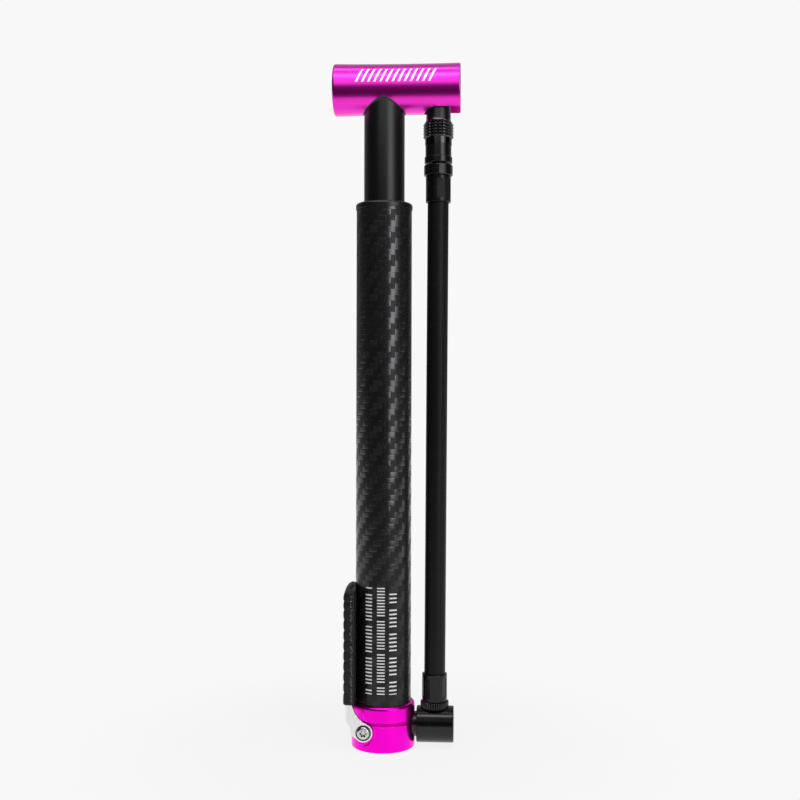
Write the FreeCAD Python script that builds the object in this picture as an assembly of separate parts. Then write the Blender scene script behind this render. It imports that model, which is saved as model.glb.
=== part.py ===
"""Mini pump with a T-handle, a docked hose and a folding foot peg, as separate parts.

Millimetres. +Z runs up the barrel, +X points to the hose, -Y is the front. The origin is
the centre of the base's lower face, on the barrel's axis. The pump is modelled closed,
with the chuck docked in the handle and the foot peg folded up against the barrel.
"""
import FreeCAD
import Part
import math
import os

V = FreeCAD.Vector
UP = V(0, 0, 1)
ALONG_X = V(1, 0, 0)
ALONG_Y = V(0, 1, 0)
SIDES = (-1, 1)

# --- driving dimensions ---------------------------------------------------------------

# barrel
TUBE_R = 12.0
TUBE_BORE_R = 11.0
LINER_BORE_R = 10.2
TUBE_FOOT_Z = 12.5
TUBE_TOP_Z = 232.1
LINER_TOP_Z = 220.0

# cap
CAP_R = 12.3
CAP_TOP_Z = 234.7
CAP_EDGE_R = 1.1
BUSH_OUTER_R = 9.9
CAP_LIP_R = 9.2
WIPER_SHOULDER_Z = 233.0

# rod and piston
ROD_R = 8.8
ROD_BORE_R = 7.6
RUNNING = 0.05
PISTON_FOOT_Z = 15.5
PISTON_TOP_Z = 29.5
PISTON_R = 9.95
END_PLUG_LENGTH = 12.5
BUMPER_LENGTH = 2.5
SEAL_Z = 19.0
SEAL_LENGTH = 2.4
SEAL_GROOVE_R = 8.15
GUIDE_Z = 23.6
GUIDE_LENGTH = 3.6

# base
BASE_R = 13.7
BASE_TOP_Z = 19.5
BASE_SHOULDER_R = 1.5
BASE_FOOT_EDGE_R = 0.8
BAND_Z = 11.3
BAND_HEIGHT = 1.4
BAND_DEPTH = 0.3
SPIGOT_R = 10.1
SPIGOT_TOP_Z = 14.5
VALVE_WELL_R = 5.0
VALVE_WELL_FOOT_Z = 4.0
SEAT_R = 6.0
SEAT_FOOT_Z = 11.5
SEAT_HOLE_R = 1.2
POPPET_R = 3.5
POPPET_LENGTH = 1.1
SPRING_R = 2.6
SPRING_WIRE_R = 0.3
SPRING_TURNS = 5

# handle
HANDLE_AXIS_Z = 284.5
HANDLE_LEFT_X = -21.9
HANDLE_RIGHT_X = 33.0
HANDLE_LEFT_R = 11.05
HANDLE_WAIST_R = 10.7
HANDLE_RIGHT_R = 10.85
HANDLE_WAIST_X = 6.0
HANDLE_LEFT_EDGE = 1.0
HANDLE_RIGHT_EDGE = 0.6
ROD_TOP_Z = 288.5
COLLAR_R = 9.35
COLLAR_TOP_Z = 282.0
COLLAR_PROUD = 0.12
DOCK_HALF_WIDTH = 6.1
DOCK_TOP_Z = 283.0

# swivel elbow
ELBOW_Z = 9.4
ELBOW_R = 7.75
ELBOW_LEFT_X = 14.6
ELBOW_RIGHT_X = 30.6
ELBOW_EDGE_R = 0.5
ELBOW_BORE_R = 2.95
NECK_R = 5.3
NECK_SEAT_X = 12.7
BOLT_R = 2.8
BOLT_TIP_X = 8.0
BOLT_BORE_R = 1.4
BOLT_HEAD_R = 4.2
BOLT_HEAD_LENGTH = 3.2
BOLT_HEAD_POCKET_R = 4.5
BOLT_SOCKET_FLATS = 4.0
ELBOW_SEAL_XS = (17.0, 26.0)
ELBOW_SEAL_SECTION = 0.7

# hose and its fittings
HOSE_FOOT_X = 22.3
HOSE_HEAD_X = 23.45
HOSE_R = 4.55
HOSE_BORE_R = 2.5
BARB_BORE_R = 1.4
COLLAR_NUT_R = 6.1
COLLAR_NUT_FOOT_R = 4.6
COLLAR_NUT_FOOT_Z = 16.1
COLLAR_NUT_FULL_Z = 17.7
COLLAR_SPOT_FACE_R = 5.9
COLLAR_NUT_TOP_Z = 19.6
COLLAR_RIBS = 40
RIB_DEPTH = 0.28
FERRULE_R = 5.4
LOWER_FERRULE_Z = (19.75, 31.4)
UPPER_FERRULE_Z = (235.2, 246.6)
FERRULE_SLEEVE_R = 4.66
FERRULE_EDGE_R = 0.3
FERRULE_PANELS = 8
PANEL_WIDTH = 2.7
PANEL_DEPTH = 0.3
PANEL_MARGIN = 1.6

# chuck
NUT_R = 6.2
NUT_Z = (246.7, 251.3)
NUT_FACES = 12
NUT_EDGE_R = 0.4
STEM_R = 3.0
STEM_RIM_R = 4.0
STEM_RIM_Z = (262.2, 263.8)
FLANGE_RING_R = 6.0
FLANGE_RING_Z = (252.0, 254.9)
FLANGE_EDGE_R = 0.35
SLEEVE_R = 5.6
SLEEVE_TOP_Z = 261.0
SPIGOT_IN_HEAD_R = 4.9
SPIGOT_IN_HEAD_TOP_Z = 262.0
HEAD_R = 6.6
HEAD_TAPER = 1.6
HEAD_TOP_Z = 271.6
HEAD_CAVITY_R = 4.3
MOUTH_NECK_R = 5.55
MOUTH_TOP_Z = 281.0
MOUTH_R = 3.85
MOUTH_FOOT_Z = 271.0
KNURL_ROWS = 5
KNURL_COUNT = 24
KNURL_DEPTH = 0.3
GASKET_Z = (264.0, 270.8)
GASKET_BORE_R = 2.4
PIN_R = 0.7
PIN_Z = (260.0, 269.0)

# foot peg
PEG_PIVOT_X = -7.5
PEG_PIVOT_Z = 8.6
PEG_SEAT_Y = 11.15
PEG_WASHER_THICKNESS = 0.27
PEG_FLANGE_Y = (11.45, 13.15)
PEG_EAR_R = 3.95
PEG_BACK_X = -15.25
PEG_WEB_THICKNESS = 1.15
PEG_WEB_FOOT_Z = 16.3
PEG_TOP_Z = 66.5
PEG_FLANGE_INNER_X = -12.6
PEG_BEND_R = 1.6
PEG_EDGE_R = 0.25
PEG_POCKET_R = 4.8
PEG_SWEEP_POCKET_R = 5.3
PEG_SWEEP_OFFSET = -0.9
PEG_BOSS_Y = 4.0
GRIP_Z = (20.3, 70.5)
GRIP_CROWN = 2.3
GRIP_X = (-16.25, -11.2)
GRIP_HALF_WIDTH = 13.65
GRIP_CORNER_R = 2.8
GRIP_RIB_PITCH = 4.4
GRIP_GROOVE_WIDTH = 1.3
GRIP_GROOVE_DEPTH = 0.3
SCREW_HEAD_R = 2.75
SCREW_HEAD_POCKET_R = 3.35
SCREW_HEAD_POCKET_DEPTH = 1.0
SCREW_HEAD_HEIGHT = 1.9
SCREW_SHOULDER_R = 1.95
SCREW_THREAD_R = 1.5
SCREW_TIP_Y = 6.3
SCREW_STAR_R = 1.45
SCREW_STAR_LOBES = 6
SCREW_STAR_DEPTH = 1.1

# clearance between parts of different bodies, and the smallest rounded edge
GAP = 0.3
SMALL_EDGE = 0.12


# --- small building blocks --------------------------------------------------------------

def rod_z(radius, z0, z1, x=0.0, y=0.0):
    """A cylinder standing on +Z."""
    return Part.makeCylinder(radius, z1 - z0, V(x, y, z0), UP)


def rod_x(radius, x0, x1, z, y=0.0):
    """A cylinder lying along +X."""
    return Part.makeCylinder(radius, x1 - x0, V(x0, y, z), ALONG_X)


def rod_y(radius, y0, y1, x, z):
    """A cylinder lying along +Y."""
    return Part.makeCylinder(radius, y1 - y0, V(x, y0, z), ALONG_Y)


def ring_z(outer, inner, z0, z1, x=0.0):
    """A plain ring round a vertical axis."""
    return rod_z(outer, z0, z1, x).cut(rod_z(inner, z0, z1, x))


def box(x, y, z):
    """A box from three (low, high) pairs."""
    return Part.makeBox(x[1] - x[0], y[1] - y[0], z[1] - z[0], V(x[0], y[0], z[0]))


def turned(points, x=0.0):
    """A solid of revolution from (radius, z) corners, round the vertical axis at x."""
    corners = [V(x + radius, 0, z) for radius, z in points]
    face = Part.Face(Part.makePolygon(corners + corners[:1]))
    return face.revolve(V(x, 0, 0), UP, 360)


def soften(body, radius, corners):
    """Round the horizontal circular edges of a turned body at the given (radius, z) corners."""
    picked = []
    for edge in body.Edges:
        if not isinstance(edge.Curve, Part.Circle):
            continue
        for corner_r, corner_z in corners:
            at_corner = abs(edge.Curve.Radius - corner_r) + abs(edge.Curve.Center.z - corner_z)
            if at_corner < 0.001:
                picked.append(edge)
    assert len(picked) == len(corners), (len(picked), corners)
    return body.makeFillet(radius, picked)


def around_z(tool, x, count, start=0.0):
    """Copies of a cutting tool turned evenly about the vertical axis at x."""
    copies = []
    for i in range(count):
        copy = tool.copy()
        copy.rotate(V(x, 0, 0), UP, start + 360.0 * i / count)
        copies.append(copy)
    return Part.makeCompound(copies)


def mirrored_y(shape):
    """The shape and its mirror image across the XZ plane."""
    return [shape, shape.mirror(V(0, 0, 0), ALONG_Y)]


def save(name, shape):
    """Check a sub-part and write it as one STEP file."""
    clean = shape.removeSplitter() if len(shape.Solids) == 1 else shape
    assert clean.isValid() and clean.Solids, name
    clean.exportStep("parts/%s.step" % name)
    print("%-20s %2d solid(s) %10.2f mm3" % (name, len(clean.Solids), clean.Volume))


# --- barrel ----------------------------------------------------------------------------

def barrel_tube():
    return ring_z(TUBE_R, TUBE_BORE_R, TUBE_FOOT_Z, TUBE_TOP_Z)


def cylinder_liner():
    return ring_z(TUBE_BORE_R, LINER_BORE_R, TUBE_FOOT_Z, LINER_TOP_Z)


def barrel_cap():
    body = soften(rod_z(CAP_R, TUBE_TOP_Z, CAP_TOP_Z), CAP_EDGE_R, [(CAP_R, CAP_TOP_Z)])
    body = soften(body, SMALL_EDGE, [(CAP_R, TUBE_TOP_Z)])
    body = body.fuse(rod_z(TUBE_BORE_R, LINER_TOP_Z, TUBE_TOP_Z))
    body = body.cut(rod_z(CAP_LIP_R, LINER_TOP_Z, CAP_TOP_Z))
    bush_seat = rod_z(BUSH_OUTER_R, LINER_TOP_Z, TUBE_TOP_Z - 0.6)
    wiper_seat = rod_z(BUSH_OUTER_R, WIPER_SHOULDER_Z, CAP_TOP_Z)
    return body.cut(bush_seat).cut(wiper_seat)


def rod_bush():
    return ring_z(BUSH_OUTER_R, ROD_R + RUNNING, LINER_TOP_Z + 1.5, TUBE_TOP_Z - 0.6)


def wiper_seal():
    lip_z = CAP_TOP_Z + 0.25
    return turned([(BUSH_OUTER_R, WIPER_SHOULDER_Z), (BUSH_OUTER_R, CAP_TOP_Z - 0.3),
                   (ROD_R + 0.35, lip_z), (ROD_R + RUNNING, lip_z),
                   (ROD_R + 0.3, WIPER_SHOULDER_Z)])


def tube_seal_ring():
    return ring_z(LINER_BORE_R, SPIGOT_R - 0.8, TUBE_FOOT_Z + 0.5, TUBE_FOOT_Z + 1.5)


# --- base and outlet valve ---------------------------------------------------------------

def peg_pockets():
    """Flats on both sides of the base that the peg's ears lie on, with room to swing."""
    tools = []
    for side in SIDES:
        y0, y1 = sorted((side * PEG_SEAT_Y, side * (BASE_R + 1)))
        tools.append(rod_y(PEG_POCKET_R, y0, y1, PEG_PIVOT_X, PEG_PIVOT_Z))
        tools.append(rod_y(PEG_SWEEP_POCKET_R, y0, y1, PEG_PIVOT_X + PEG_SWEEP_OFFSET,
                           PEG_PIVOT_Z + PEG_SWEEP_OFFSET))
    return tools


def base_cup():
    band_top = BAND_Z + BAND_HEIGHT
    band_r = BASE_R - BAND_DEPTH
    body = turned([(0, 0), (BASE_R, 0), (BASE_R, BAND_Z - SMALL_EDGE),
                   (BASE_R - SMALL_EDGE, BAND_Z), (band_r, BAND_Z), (band_r, band_top),
                   (BASE_R - SMALL_EDGE, band_top), (BASE_R, band_top + SMALL_EDGE),
                   (BASE_R, BASE_TOP_Z), (TUBE_R, BASE_TOP_Z),
                   (TUBE_R, TUBE_FOOT_Z), (SPIGOT_R, TUBE_FOOT_Z), (SPIGOT_R, SPIGOT_TOP_Z),
                   (0, SPIGOT_TOP_Z)])
    body = soften(body, BASE_FOOT_EDGE_R, [(BASE_R, 0)])
    body = soften(body, BASE_SHOULDER_R, [(BASE_R, BASE_TOP_Z)])
    for boss in mirrored_y(rod_y(PEG_EAR_R, PEG_BOSS_Y, PEG_SEAT_Y, PEG_PIVOT_X, PEG_PIVOT_Z)):
        body = body.fuse(boss)
    for pocket in peg_pockets():
        body = body.cut(pocket)
    body = body.cut(ring_z(TUBE_R, SPIGOT_R, TUBE_FOOT_Z, BASE_TOP_Z))
    body = body.cut(rod_z(VALVE_WELL_R, VALVE_WELL_FOOT_Z, SPIGOT_TOP_Z))
    body = body.cut(rod_z(SEAT_R, SEAT_FOOT_Z, SPIGOT_TOP_Z))
    body = body.cut(ring_z(SPIGOT_R, SPIGOT_R - 0.8, TUBE_FOOT_Z + 0.5, TUBE_FOOT_Z + 1.5))
    body = body.cut(rod_x(NECK_R, NECK_SEAT_X, BASE_R + 1, ELBOW_Z))
    body = body.cut(rod_x(BOLT_R, BOLT_TIP_X, BASE_R + 1, ELBOW_Z))
    body = body.cut(rod_x(BOLT_BORE_R, VALVE_WELL_R - 1, BOLT_TIP_X, ELBOW_Z))
    for hole in mirrored_y(rod_y(SCREW_THREAD_R, SCREW_TIP_Y, BASE_R, PEG_PIVOT_X, PEG_PIVOT_Z)):
        body = body.cut(hole)
    return body


def valve_seat():
    return ring_z(SEAT_R, SEAT_HOLE_R, SEAT_FOOT_Z, SPIGOT_TOP_Z)


POPPET_TOP_Z = SEAT_FOOT_Z - 0.03
POPPET_FOOT_Z = POPPET_TOP_Z - POPPET_LENGTH


def valve_poppet():
    disc = rod_z(POPPET_R, POPPET_FOOT_Z, POPPET_TOP_Z)
    grooves = around_z(box((POPPET_R - 0.5, POPPET_R + 1), (-0.6, 0.6),
                           (POPPET_FOOT_Z, POPPET_TOP_Z)), 0, 4)
    return disc.cut(grooves)


def valve_spring():
    height = POPPET_FOOT_Z - VALVE_WELL_FOOT_Z - 2 * SPRING_WIRE_R - 0.1
    foot = VALVE_WELL_FOOT_Z + SPRING_WIRE_R + 0.05
    helix = Part.makeHelix(height / SPRING_TURNS, height, SPRING_R)
    helix.translate(V(0, 0, foot))
    section = Part.makeCircle(SPRING_WIRE_R, V(SPRING_R, 0, foot), ALONG_Y)
    return Part.Wire(helix.Edges).makePipeShell([Part.Wire(section)], True, True)


# --- rod, piston and handle ----------------------------------------------------------------

def piston_rod():
    return ring_z(ROD_R, ROD_BORE_R, PISTON_TOP_Z, ROD_TOP_Z)


def rod_end_plug():
    plug = rod_z(ROD_BORE_R, PISTON_TOP_Z, PISTON_TOP_Z + END_PLUG_LENGTH)
    return plug.cut(rod_z(2.5, PISTON_TOP_Z, PISTON_TOP_Z + END_PLUG_LENGTH))


def rod_top_plug():
    plug = rod_z(ROD_BORE_R, ROD_TOP_Z - 16, ROD_TOP_Z)
    return plug.cut(rod_z(3.0, ROD_TOP_Z - 16, ROD_TOP_Z - 2))


def piston_head():
    body = rod_z(PISTON_R, PISTON_FOOT_Z, PISTON_TOP_Z)
    body = body.cut(ring_z(PISTON_R, SEAL_GROOVE_R, SEAL_Z, SEAL_Z + SEAL_LENGTH))
    body = body.cut(ring_z(PISTON_R, 9.0, GUIDE_Z, GUIDE_Z + GUIDE_LENGTH))
    body = body.cut(rod_z(2.5, PISTON_FOOT_Z, PISTON_TOP_Z))
    return body.cut(turned([(0, PISTON_FOOT_Z), (5.0, PISTON_FOOT_Z), (2.5, PISTON_FOOT_Z + 2.5),
                            (0, PISTON_FOOT_Z + 2.5)]))


def piston_seal():
    mid = SEAL_Z + SEAL_LENGTH / 2
    tube_r = 0.98
    centre_r = LINER_BORE_R - RUNNING - tube_r
    return Part.makeTorus(centre_r, tube_r, V(0, 0, mid), UP)


def piston_guide_ring():
    whole = ring_z(LINER_BORE_R - RUNNING, 9.0, GUIDE_Z, GUIDE_Z + GUIDE_LENGTH)
    split = box((0, LINER_BORE_R), (-0.4, 0.4), (GUIDE_Z, GUIDE_Z + GUIDE_LENGTH))
    return whole.cut(split)


def piston_screw():
    shank = rod_z(2.5, PISTON_FOOT_Z + 2.5, PISTON_TOP_Z + END_PLUG_LENGTH - 2)
    head = turned([(0, PISTON_FOOT_Z), (5.0, PISTON_FOOT_Z), (2.5, PISTON_FOOT_Z + 2.5),
                   (0, PISTON_FOOT_Z + 2.5)])
    return shank.fuse(head).cut(hex_socket(3.0, V(0, 0, PISTON_FOOT_Z), UP, 2.0))


def hex_socket(flats, mouth, inward, depth):
    """A hexagonal socket as a cutting tool, from its mouth along the inward direction."""
    helper = ALONG_X if abs(inward.dot(ALONG_X)) < 0.5 else ALONG_Y
    side = inward.cross(helper)
    across = flats / math.sqrt(3)
    corners = []
    for i in range(7):
        turn = math.radians(60 * i)
        corners.append(mouth + helper * (across * math.cos(turn)) + side * (across * math.sin(turn)))
    return Part.Face(Part.makePolygon(corners)).extrude(inward * depth)


def top_out_bumper():
    return ring_z(9.8, ROD_R, PISTON_TOP_Z, PISTON_TOP_Z + BUMPER_LENGTH)


def handle_solid():
    """The waisted handle bar with softened rims, before its bores are cut."""
    left_rim = V(HANDLE_LEFT_X + HANDLE_LEFT_EDGE, 0, HANDLE_AXIS_Z + HANDLE_LEFT_R)
    waist = V(HANDLE_WAIST_X, 0, HANDLE_AXIS_Z + HANDLE_WAIST_R)
    right_rim = V(HANDLE_RIGHT_X - HANDLE_RIGHT_EDGE, 0, HANDLE_AXIS_Z + HANDLE_RIGHT_R)
    left_low = left_rim + V(-HANDLE_LEFT_EDGE, 0, -HANDLE_LEFT_EDGE)
    left_mid = left_rim + V(-math.sqrt(0.5), 0, -1 + math.sqrt(0.5)) * HANDLE_LEFT_EDGE
    right_low = right_rim + V(HANDLE_RIGHT_EDGE, 0, -HANDLE_RIGHT_EDGE)
    right_mid = right_rim + V(math.sqrt(0.5), 0, -1 + math.sqrt(0.5)) * HANDLE_RIGHT_EDGE
    left_centre = V(HANDLE_LEFT_X, 0, HANDLE_AXIS_Z)
    right_centre = V(HANDLE_RIGHT_X, 0, HANDLE_AXIS_Z)
    outline = [Part.LineSegment(left_centre, left_low).toShape(),
               Part.Arc(left_low, left_mid, left_rim).toShape(),
               Part.Arc(left_rim, waist, right_rim).toShape(),
               Part.Arc(right_rim, right_mid, right_low).toShape(),
               Part.LineSegment(right_low, right_centre).toShape(),
               Part.LineSegment(right_centre, left_centre).toShape()]
    return Part.Face(Part.Wire(outline)).revolve(left_centre, ALONG_X, 360)


def handle():
    body = handle_solid()
    body = body.cut(rod_z(ROD_R, HANDLE_AXIS_Z - 14, ROD_TOP_Z))
    body = body.cut(rod_z(COLLAR_R, HANDLE_AXIS_Z - 14, COLLAR_TOP_Z))
    dock = rod_z(DOCK_HALF_WIDTH, HANDLE_AXIS_Z - 14, DOCK_TOP_Z, HOSE_HEAD_X)
    mouth = box((HOSE_HEAD_X, HANDLE_RIGHT_X + 1), (-DOCK_HALF_WIDTH, DOCK_HALF_WIDTH),
                (HANDLE_AXIS_Z - 14, DOCK_TOP_Z))
    return body.cut(dock.fuse(mouth))


def handle_collar():
    ring = ring_z(COLLAR_R, ROD_R, HANDLE_AXIS_Z - 14, COLLAR_TOP_Z)
    hull = rod_x(HANDLE_WAIST_R + COLLAR_PROUD, -14, 14, HANDLE_AXIS_Z)
    return ring.common(hull)


# --- swivel elbow --------------------------------------------------------------------------

def neck_washer():
    return rod_x(NECK_R, NECK_SEAT_X, ELBOW_LEFT_X, ELBOW_Z).cut(
        rod_x(ELBOW_BORE_R, NECK_SEAT_X, ELBOW_LEFT_X, ELBOW_Z))


def hose_elbow():
    body = rod_x(ELBOW_R, ELBOW_LEFT_X, ELBOW_RIGHT_X, ELBOW_Z)
    rims = [e for e in body.Edges if e.Length > 2 * ELBOW_R * 3]
    body = body.makeFillet(ELBOW_EDGE_R, rims)
    body = body.cut(rod_x(ELBOW_BORE_R, ELBOW_LEFT_X, ELBOW_RIGHT_X, ELBOW_Z))
    head_seat_x = ELBOW_RIGHT_X - BOLT_HEAD_LENGTH - 0.3
    body = body.cut(rod_x(BOLT_HEAD_POCKET_R, head_seat_x, ELBOW_RIGHT_X, ELBOW_Z))
    for x in ELBOW_SEAL_XS:
        groove = rod_x(ELBOW_BORE_R + 0.5, x - 0.8, x + 0.8, ELBOW_Z)
        body = body.cut(groove)
    body = body.cut(rod_z(COLLAR_SPOT_FACE_R, COLLAR_NUT_FOOT_Z, ELBOW_Z + ELBOW_R + 1, HOSE_FOOT_X))
    return body.cut(rod_z(BARB_BORE_R, ELBOW_Z, COLLAR_NUT_FOOT_Z, HOSE_FOOT_X))


def swivel_bolt():
    head_x = ELBOW_RIGHT_X - BOLT_HEAD_LENGTH - 0.3
    shank = rod_x(BOLT_R, BOLT_TIP_X, head_x, ELBOW_Z)
    head = rod_x(BOLT_HEAD_R, head_x, head_x + BOLT_HEAD_LENGTH, ELBOW_Z)
    body = shank.fuse(head)
    body = body.cut(rod_x(BOLT_BORE_R, BOLT_TIP_X, HOSE_FOOT_X + BOLT_BORE_R, ELBOW_Z))
    body = body.cut(rod_z(BARB_BORE_R, ELBOW_Z - BOLT_R - 1, ELBOW_Z + BOLT_R + 1, HOSE_FOOT_X))
    mouth = V(head_x + BOLT_HEAD_LENGTH, 0, ELBOW_Z)
    return body.cut(hex_socket(BOLT_SOCKET_FLATS, mouth, ALONG_X * -1, 2.4))


def elbow_seals():
    rings = []
    for x in ELBOW_SEAL_XS:
        outer = rod_x(ELBOW_BORE_R + 0.5, x - ELBOW_SEAL_SECTION, x + ELBOW_SEAL_SECTION, ELBOW_Z)
        rings.append(outer.cut(rod_x(BOLT_R, x - 1, x + 1, ELBOW_Z)))
    return Part.makeCompound(rings)


# --- hose and fittings ---------------------------------------------------------------------

def knurled_collar():
    x = HOSE_FOOT_X
    body = turned([(BARB_BORE_R + 1.2, COLLAR_NUT_FOOT_Z), (COLLAR_NUT_FOOT_R, COLLAR_NUT_FOOT_Z),
                   (COLLAR_NUT_R, COLLAR_NUT_FULL_Z), (COLLAR_NUT_R, COLLAR_NUT_TOP_Z - 0.25),
                   (COLLAR_NUT_R - 0.25, COLLAR_NUT_TOP_Z), (BARB_BORE_R + 1.2, COLLAR_NUT_TOP_Z)], x)
    pitch = 2 * math.pi * COLLAR_NUT_R / COLLAR_RIBS
    reach = COLLAR_NUT_R + RIB_DEPTH
    groove = Part.makePolygon([V(x + COLLAR_NUT_R - RIB_DEPTH, 0, COLLAR_NUT_FOOT_Z - 1),
                               V(x + reach, pitch / 2, COLLAR_NUT_FOOT_Z - 1),
                               V(x + reach, -pitch / 2, COLLAR_NUT_FOOT_Z - 1),
                               V(x + COLLAR_NUT_R - RIB_DEPTH, 0, COLLAR_NUT_FOOT_Z - 1)])
    tool = Part.Face(groove).extrude(UP * (COLLAR_NUT_TOP_Z - COLLAR_NUT_FOOT_Z + 2))
    return body.cut(around_z(tool, x, COLLAR_RIBS))


def hose_barb(x, z0, z1, teeth_from, step):
    """A hollow barbed spigot: plain from z0, toothed from teeth_from up to z1."""
    root_r = HOSE_BORE_R - 0.5
    points = [(BARB_BORE_R, z0), (HOSE_BORE_R, z0), (HOSE_BORE_R, teeth_from)]
    z = teeth_from
    while z + step <= z1:
        points += [(root_r, z + 0.01), (HOSE_BORE_R - 0.02, z + step * 0.8), (HOSE_BORE_R - 0.02, z + step)]
        z += step
    points += [(root_r, z + 0.01), (root_r, z1 + 0.5), (BARB_BORE_R, z1 + 0.5)]
    return turned(points, x)


def lower_barb():
    return hose_barb(HOSE_FOOT_X, COLLAR_NUT_FOOT_Z, 30.0, 20.0, 2.5)


def upper_barb():
    barb = hose_barb(HOSE_HEAD_X, UPPER_FERRULE_Z[0] + 1, NUT_Z[0] - 1, UPPER_FERRULE_Z[0] + 1.5, 2.2)
    return barb


def crimped_ferrule(x, z_range):
    """A sleeve with a ring of shallow crimped panels and softened ends."""
    z0, z1 = z_range
    body = turned([(FERRULE_SLEEVE_R, z0), (FERRULE_R, z0), (FERRULE_R, z1), (FERRULE_SLEEVE_R, z1)], x)
    body = soften(body, FERRULE_EDGE_R, [(FERRULE_R, z0), (FERRULE_R, z1)])
    panel = box((x + FERRULE_R - PANEL_DEPTH, x + FERRULE_R + 1), (-PANEL_WIDTH / 2, PANEL_WIDTH / 2),
                (z0 + PANEL_MARGIN, z1 - PANEL_MARGIN))
    return body.cut(around_z(panel, x, FERRULE_PANELS, 360.0 / FERRULE_PANELS / 4))


def hose():
    foot = V(HOSE_FOOT_X, 0, LOWER_FERRULE_Z[0] + 0.2)
    head = V(HOSE_HEAD_X, 0, UPPER_FERRULE_Z[1] - 0.2)
    run = head - foot
    outer = Part.makeCylinder(HOSE_R, run.Length, foot, run)
    return outer.cut(Part.makeCylinder(HOSE_BORE_R + 0.06, run.Length, foot, run))


def chuck_stem():
    x = HOSE_HEAD_X
    nut = soften(rod_z(NUT_R, NUT_Z[0], NUT_Z[1], x), NUT_EDGE_R, [(NUT_R, z) for z in NUT_Z])
    facets = []
    for i in range(NUT_FACES):
        turn = math.radians(360.0 / NUT_FACES * i)
        facets.append(V(x + NUT_R * 1.02 * math.cos(turn), NUT_R * 1.02 * math.sin(turn), NUT_Z[0]))
    prism = Part.Face(Part.makePolygon(facets + facets[:1])).extrude(UP * (NUT_Z[1] - NUT_Z[0]))
    body = nut.common(prism)
    body = body.fuse(rod_z(STEM_R, NUT_Z[1], STEM_RIM_Z[1], x))
    body = body.fuse(rod_z(STEM_RIM_R, STEM_RIM_Z[0], STEM_RIM_Z[1], x))
    return body.cut(rod_z(BARB_BORE_R, NUT_Z[0], STEM_RIM_Z[1], x))


def valve_pin():
    x = HOSE_HEAD_X
    foot = rod_z(BARB_BORE_R, PIN_Z[0], PIN_Z[0] + 1.6, x)
    for side in SIDES:
        x0, x1 = sorted((x + side * 0.75, x + side * 3))
        foot = foot.cut(box((x0, x1), (-2, 2), (PIN_Z[0], PIN_Z[0] + 1.6)))
    return foot.fuse(rod_z(PIN_R, PIN_Z[0] + 1.6, PIN_Z[1], x))


def chuck_flange_ring():
    z0, z1 = FLANGE_RING_Z
    body = turned([(SLEEVE_R - 0.4, z0), (FLANGE_RING_R, z0), (FLANGE_RING_R, z1),
                   (SLEEVE_R - 0.4, z1)], HOSE_HEAD_X)
    return soften(body, FLANGE_EDGE_R, [(FLANGE_RING_R, z0), (FLANGE_RING_R, z1)])


def chuck_sleeve():
    x = HOSE_HEAD_X
    z0, z1 = FLANGE_RING_Z
    body = turned([(0, z0), (SLEEVE_R - 0.4, z0), (SLEEVE_R - 0.4, z1), (SLEEVE_R, z1 + 0.1),
                   (SLEEVE_R, SLEEVE_TOP_Z), (SPIGOT_IN_HEAD_R, SLEEVE_TOP_Z),
                   (SPIGOT_IN_HEAD_R, SPIGOT_IN_HEAD_TOP_Z), (0, SPIGOT_IN_HEAD_TOP_Z)], x)
    return body.cut(rod_z(STEM_R + RUNNING, z0, SPIGOT_IN_HEAD_TOP_Z, x))


def chuck_head():
    x = HOSE_HEAD_X
    body = turned([(HEAD_CAVITY_R, SPIGOT_IN_HEAD_TOP_Z), (SPIGOT_IN_HEAD_R, SPIGOT_IN_HEAD_TOP_Z),
                   (SPIGOT_IN_HEAD_R, SLEEVE_TOP_Z), (SLEEVE_R, SLEEVE_TOP_Z),
                   (HEAD_R, SLEEVE_TOP_Z + HEAD_TAPER), (HEAD_R, HEAD_TOP_Z - HEAD_TAPER),
                   (MOUTH_NECK_R, HEAD_TOP_Z), (MOUTH_NECK_R, MOUTH_TOP_Z - 0.5),
                   (MOUTH_NECK_R - 0.5, MOUTH_TOP_Z), (MOUTH_R, MOUTH_TOP_Z),
                   (MOUTH_R, MOUTH_FOOT_Z), (HEAD_CAVITY_R, MOUTH_FOOT_Z)], x)
    grip_foot = SLEEVE_TOP_Z + HEAD_TAPER
    grip_length = HEAD_TOP_Z - HEAD_TAPER - grip_foot
    pitch = grip_length / KNURL_ROWS
    for i in range(KNURL_ROWS + 1):
        z = grip_foot + pitch * i
        body = body.cut(turned([(HEAD_R - KNURL_DEPTH, z), (HEAD_R + 0.2, z - 0.45),
                                (HEAD_R + 0.2, z + 0.45)], x))
    flute = box((x + HEAD_R - KNURL_DEPTH, x + HEAD_R + 1), (-0.3, 0.3),
                (grip_foot, grip_foot + grip_length))
    return body.cut(around_z(flute, x, KNURL_COUNT))


def chuck_gasket():
    return ring_z(HEAD_CAVITY_R, GASKET_BORE_R, GASKET_Z[0], GASKET_Z[1], HOSE_HEAD_X)


# --- foot peg ------------------------------------------------------------------------------

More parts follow.
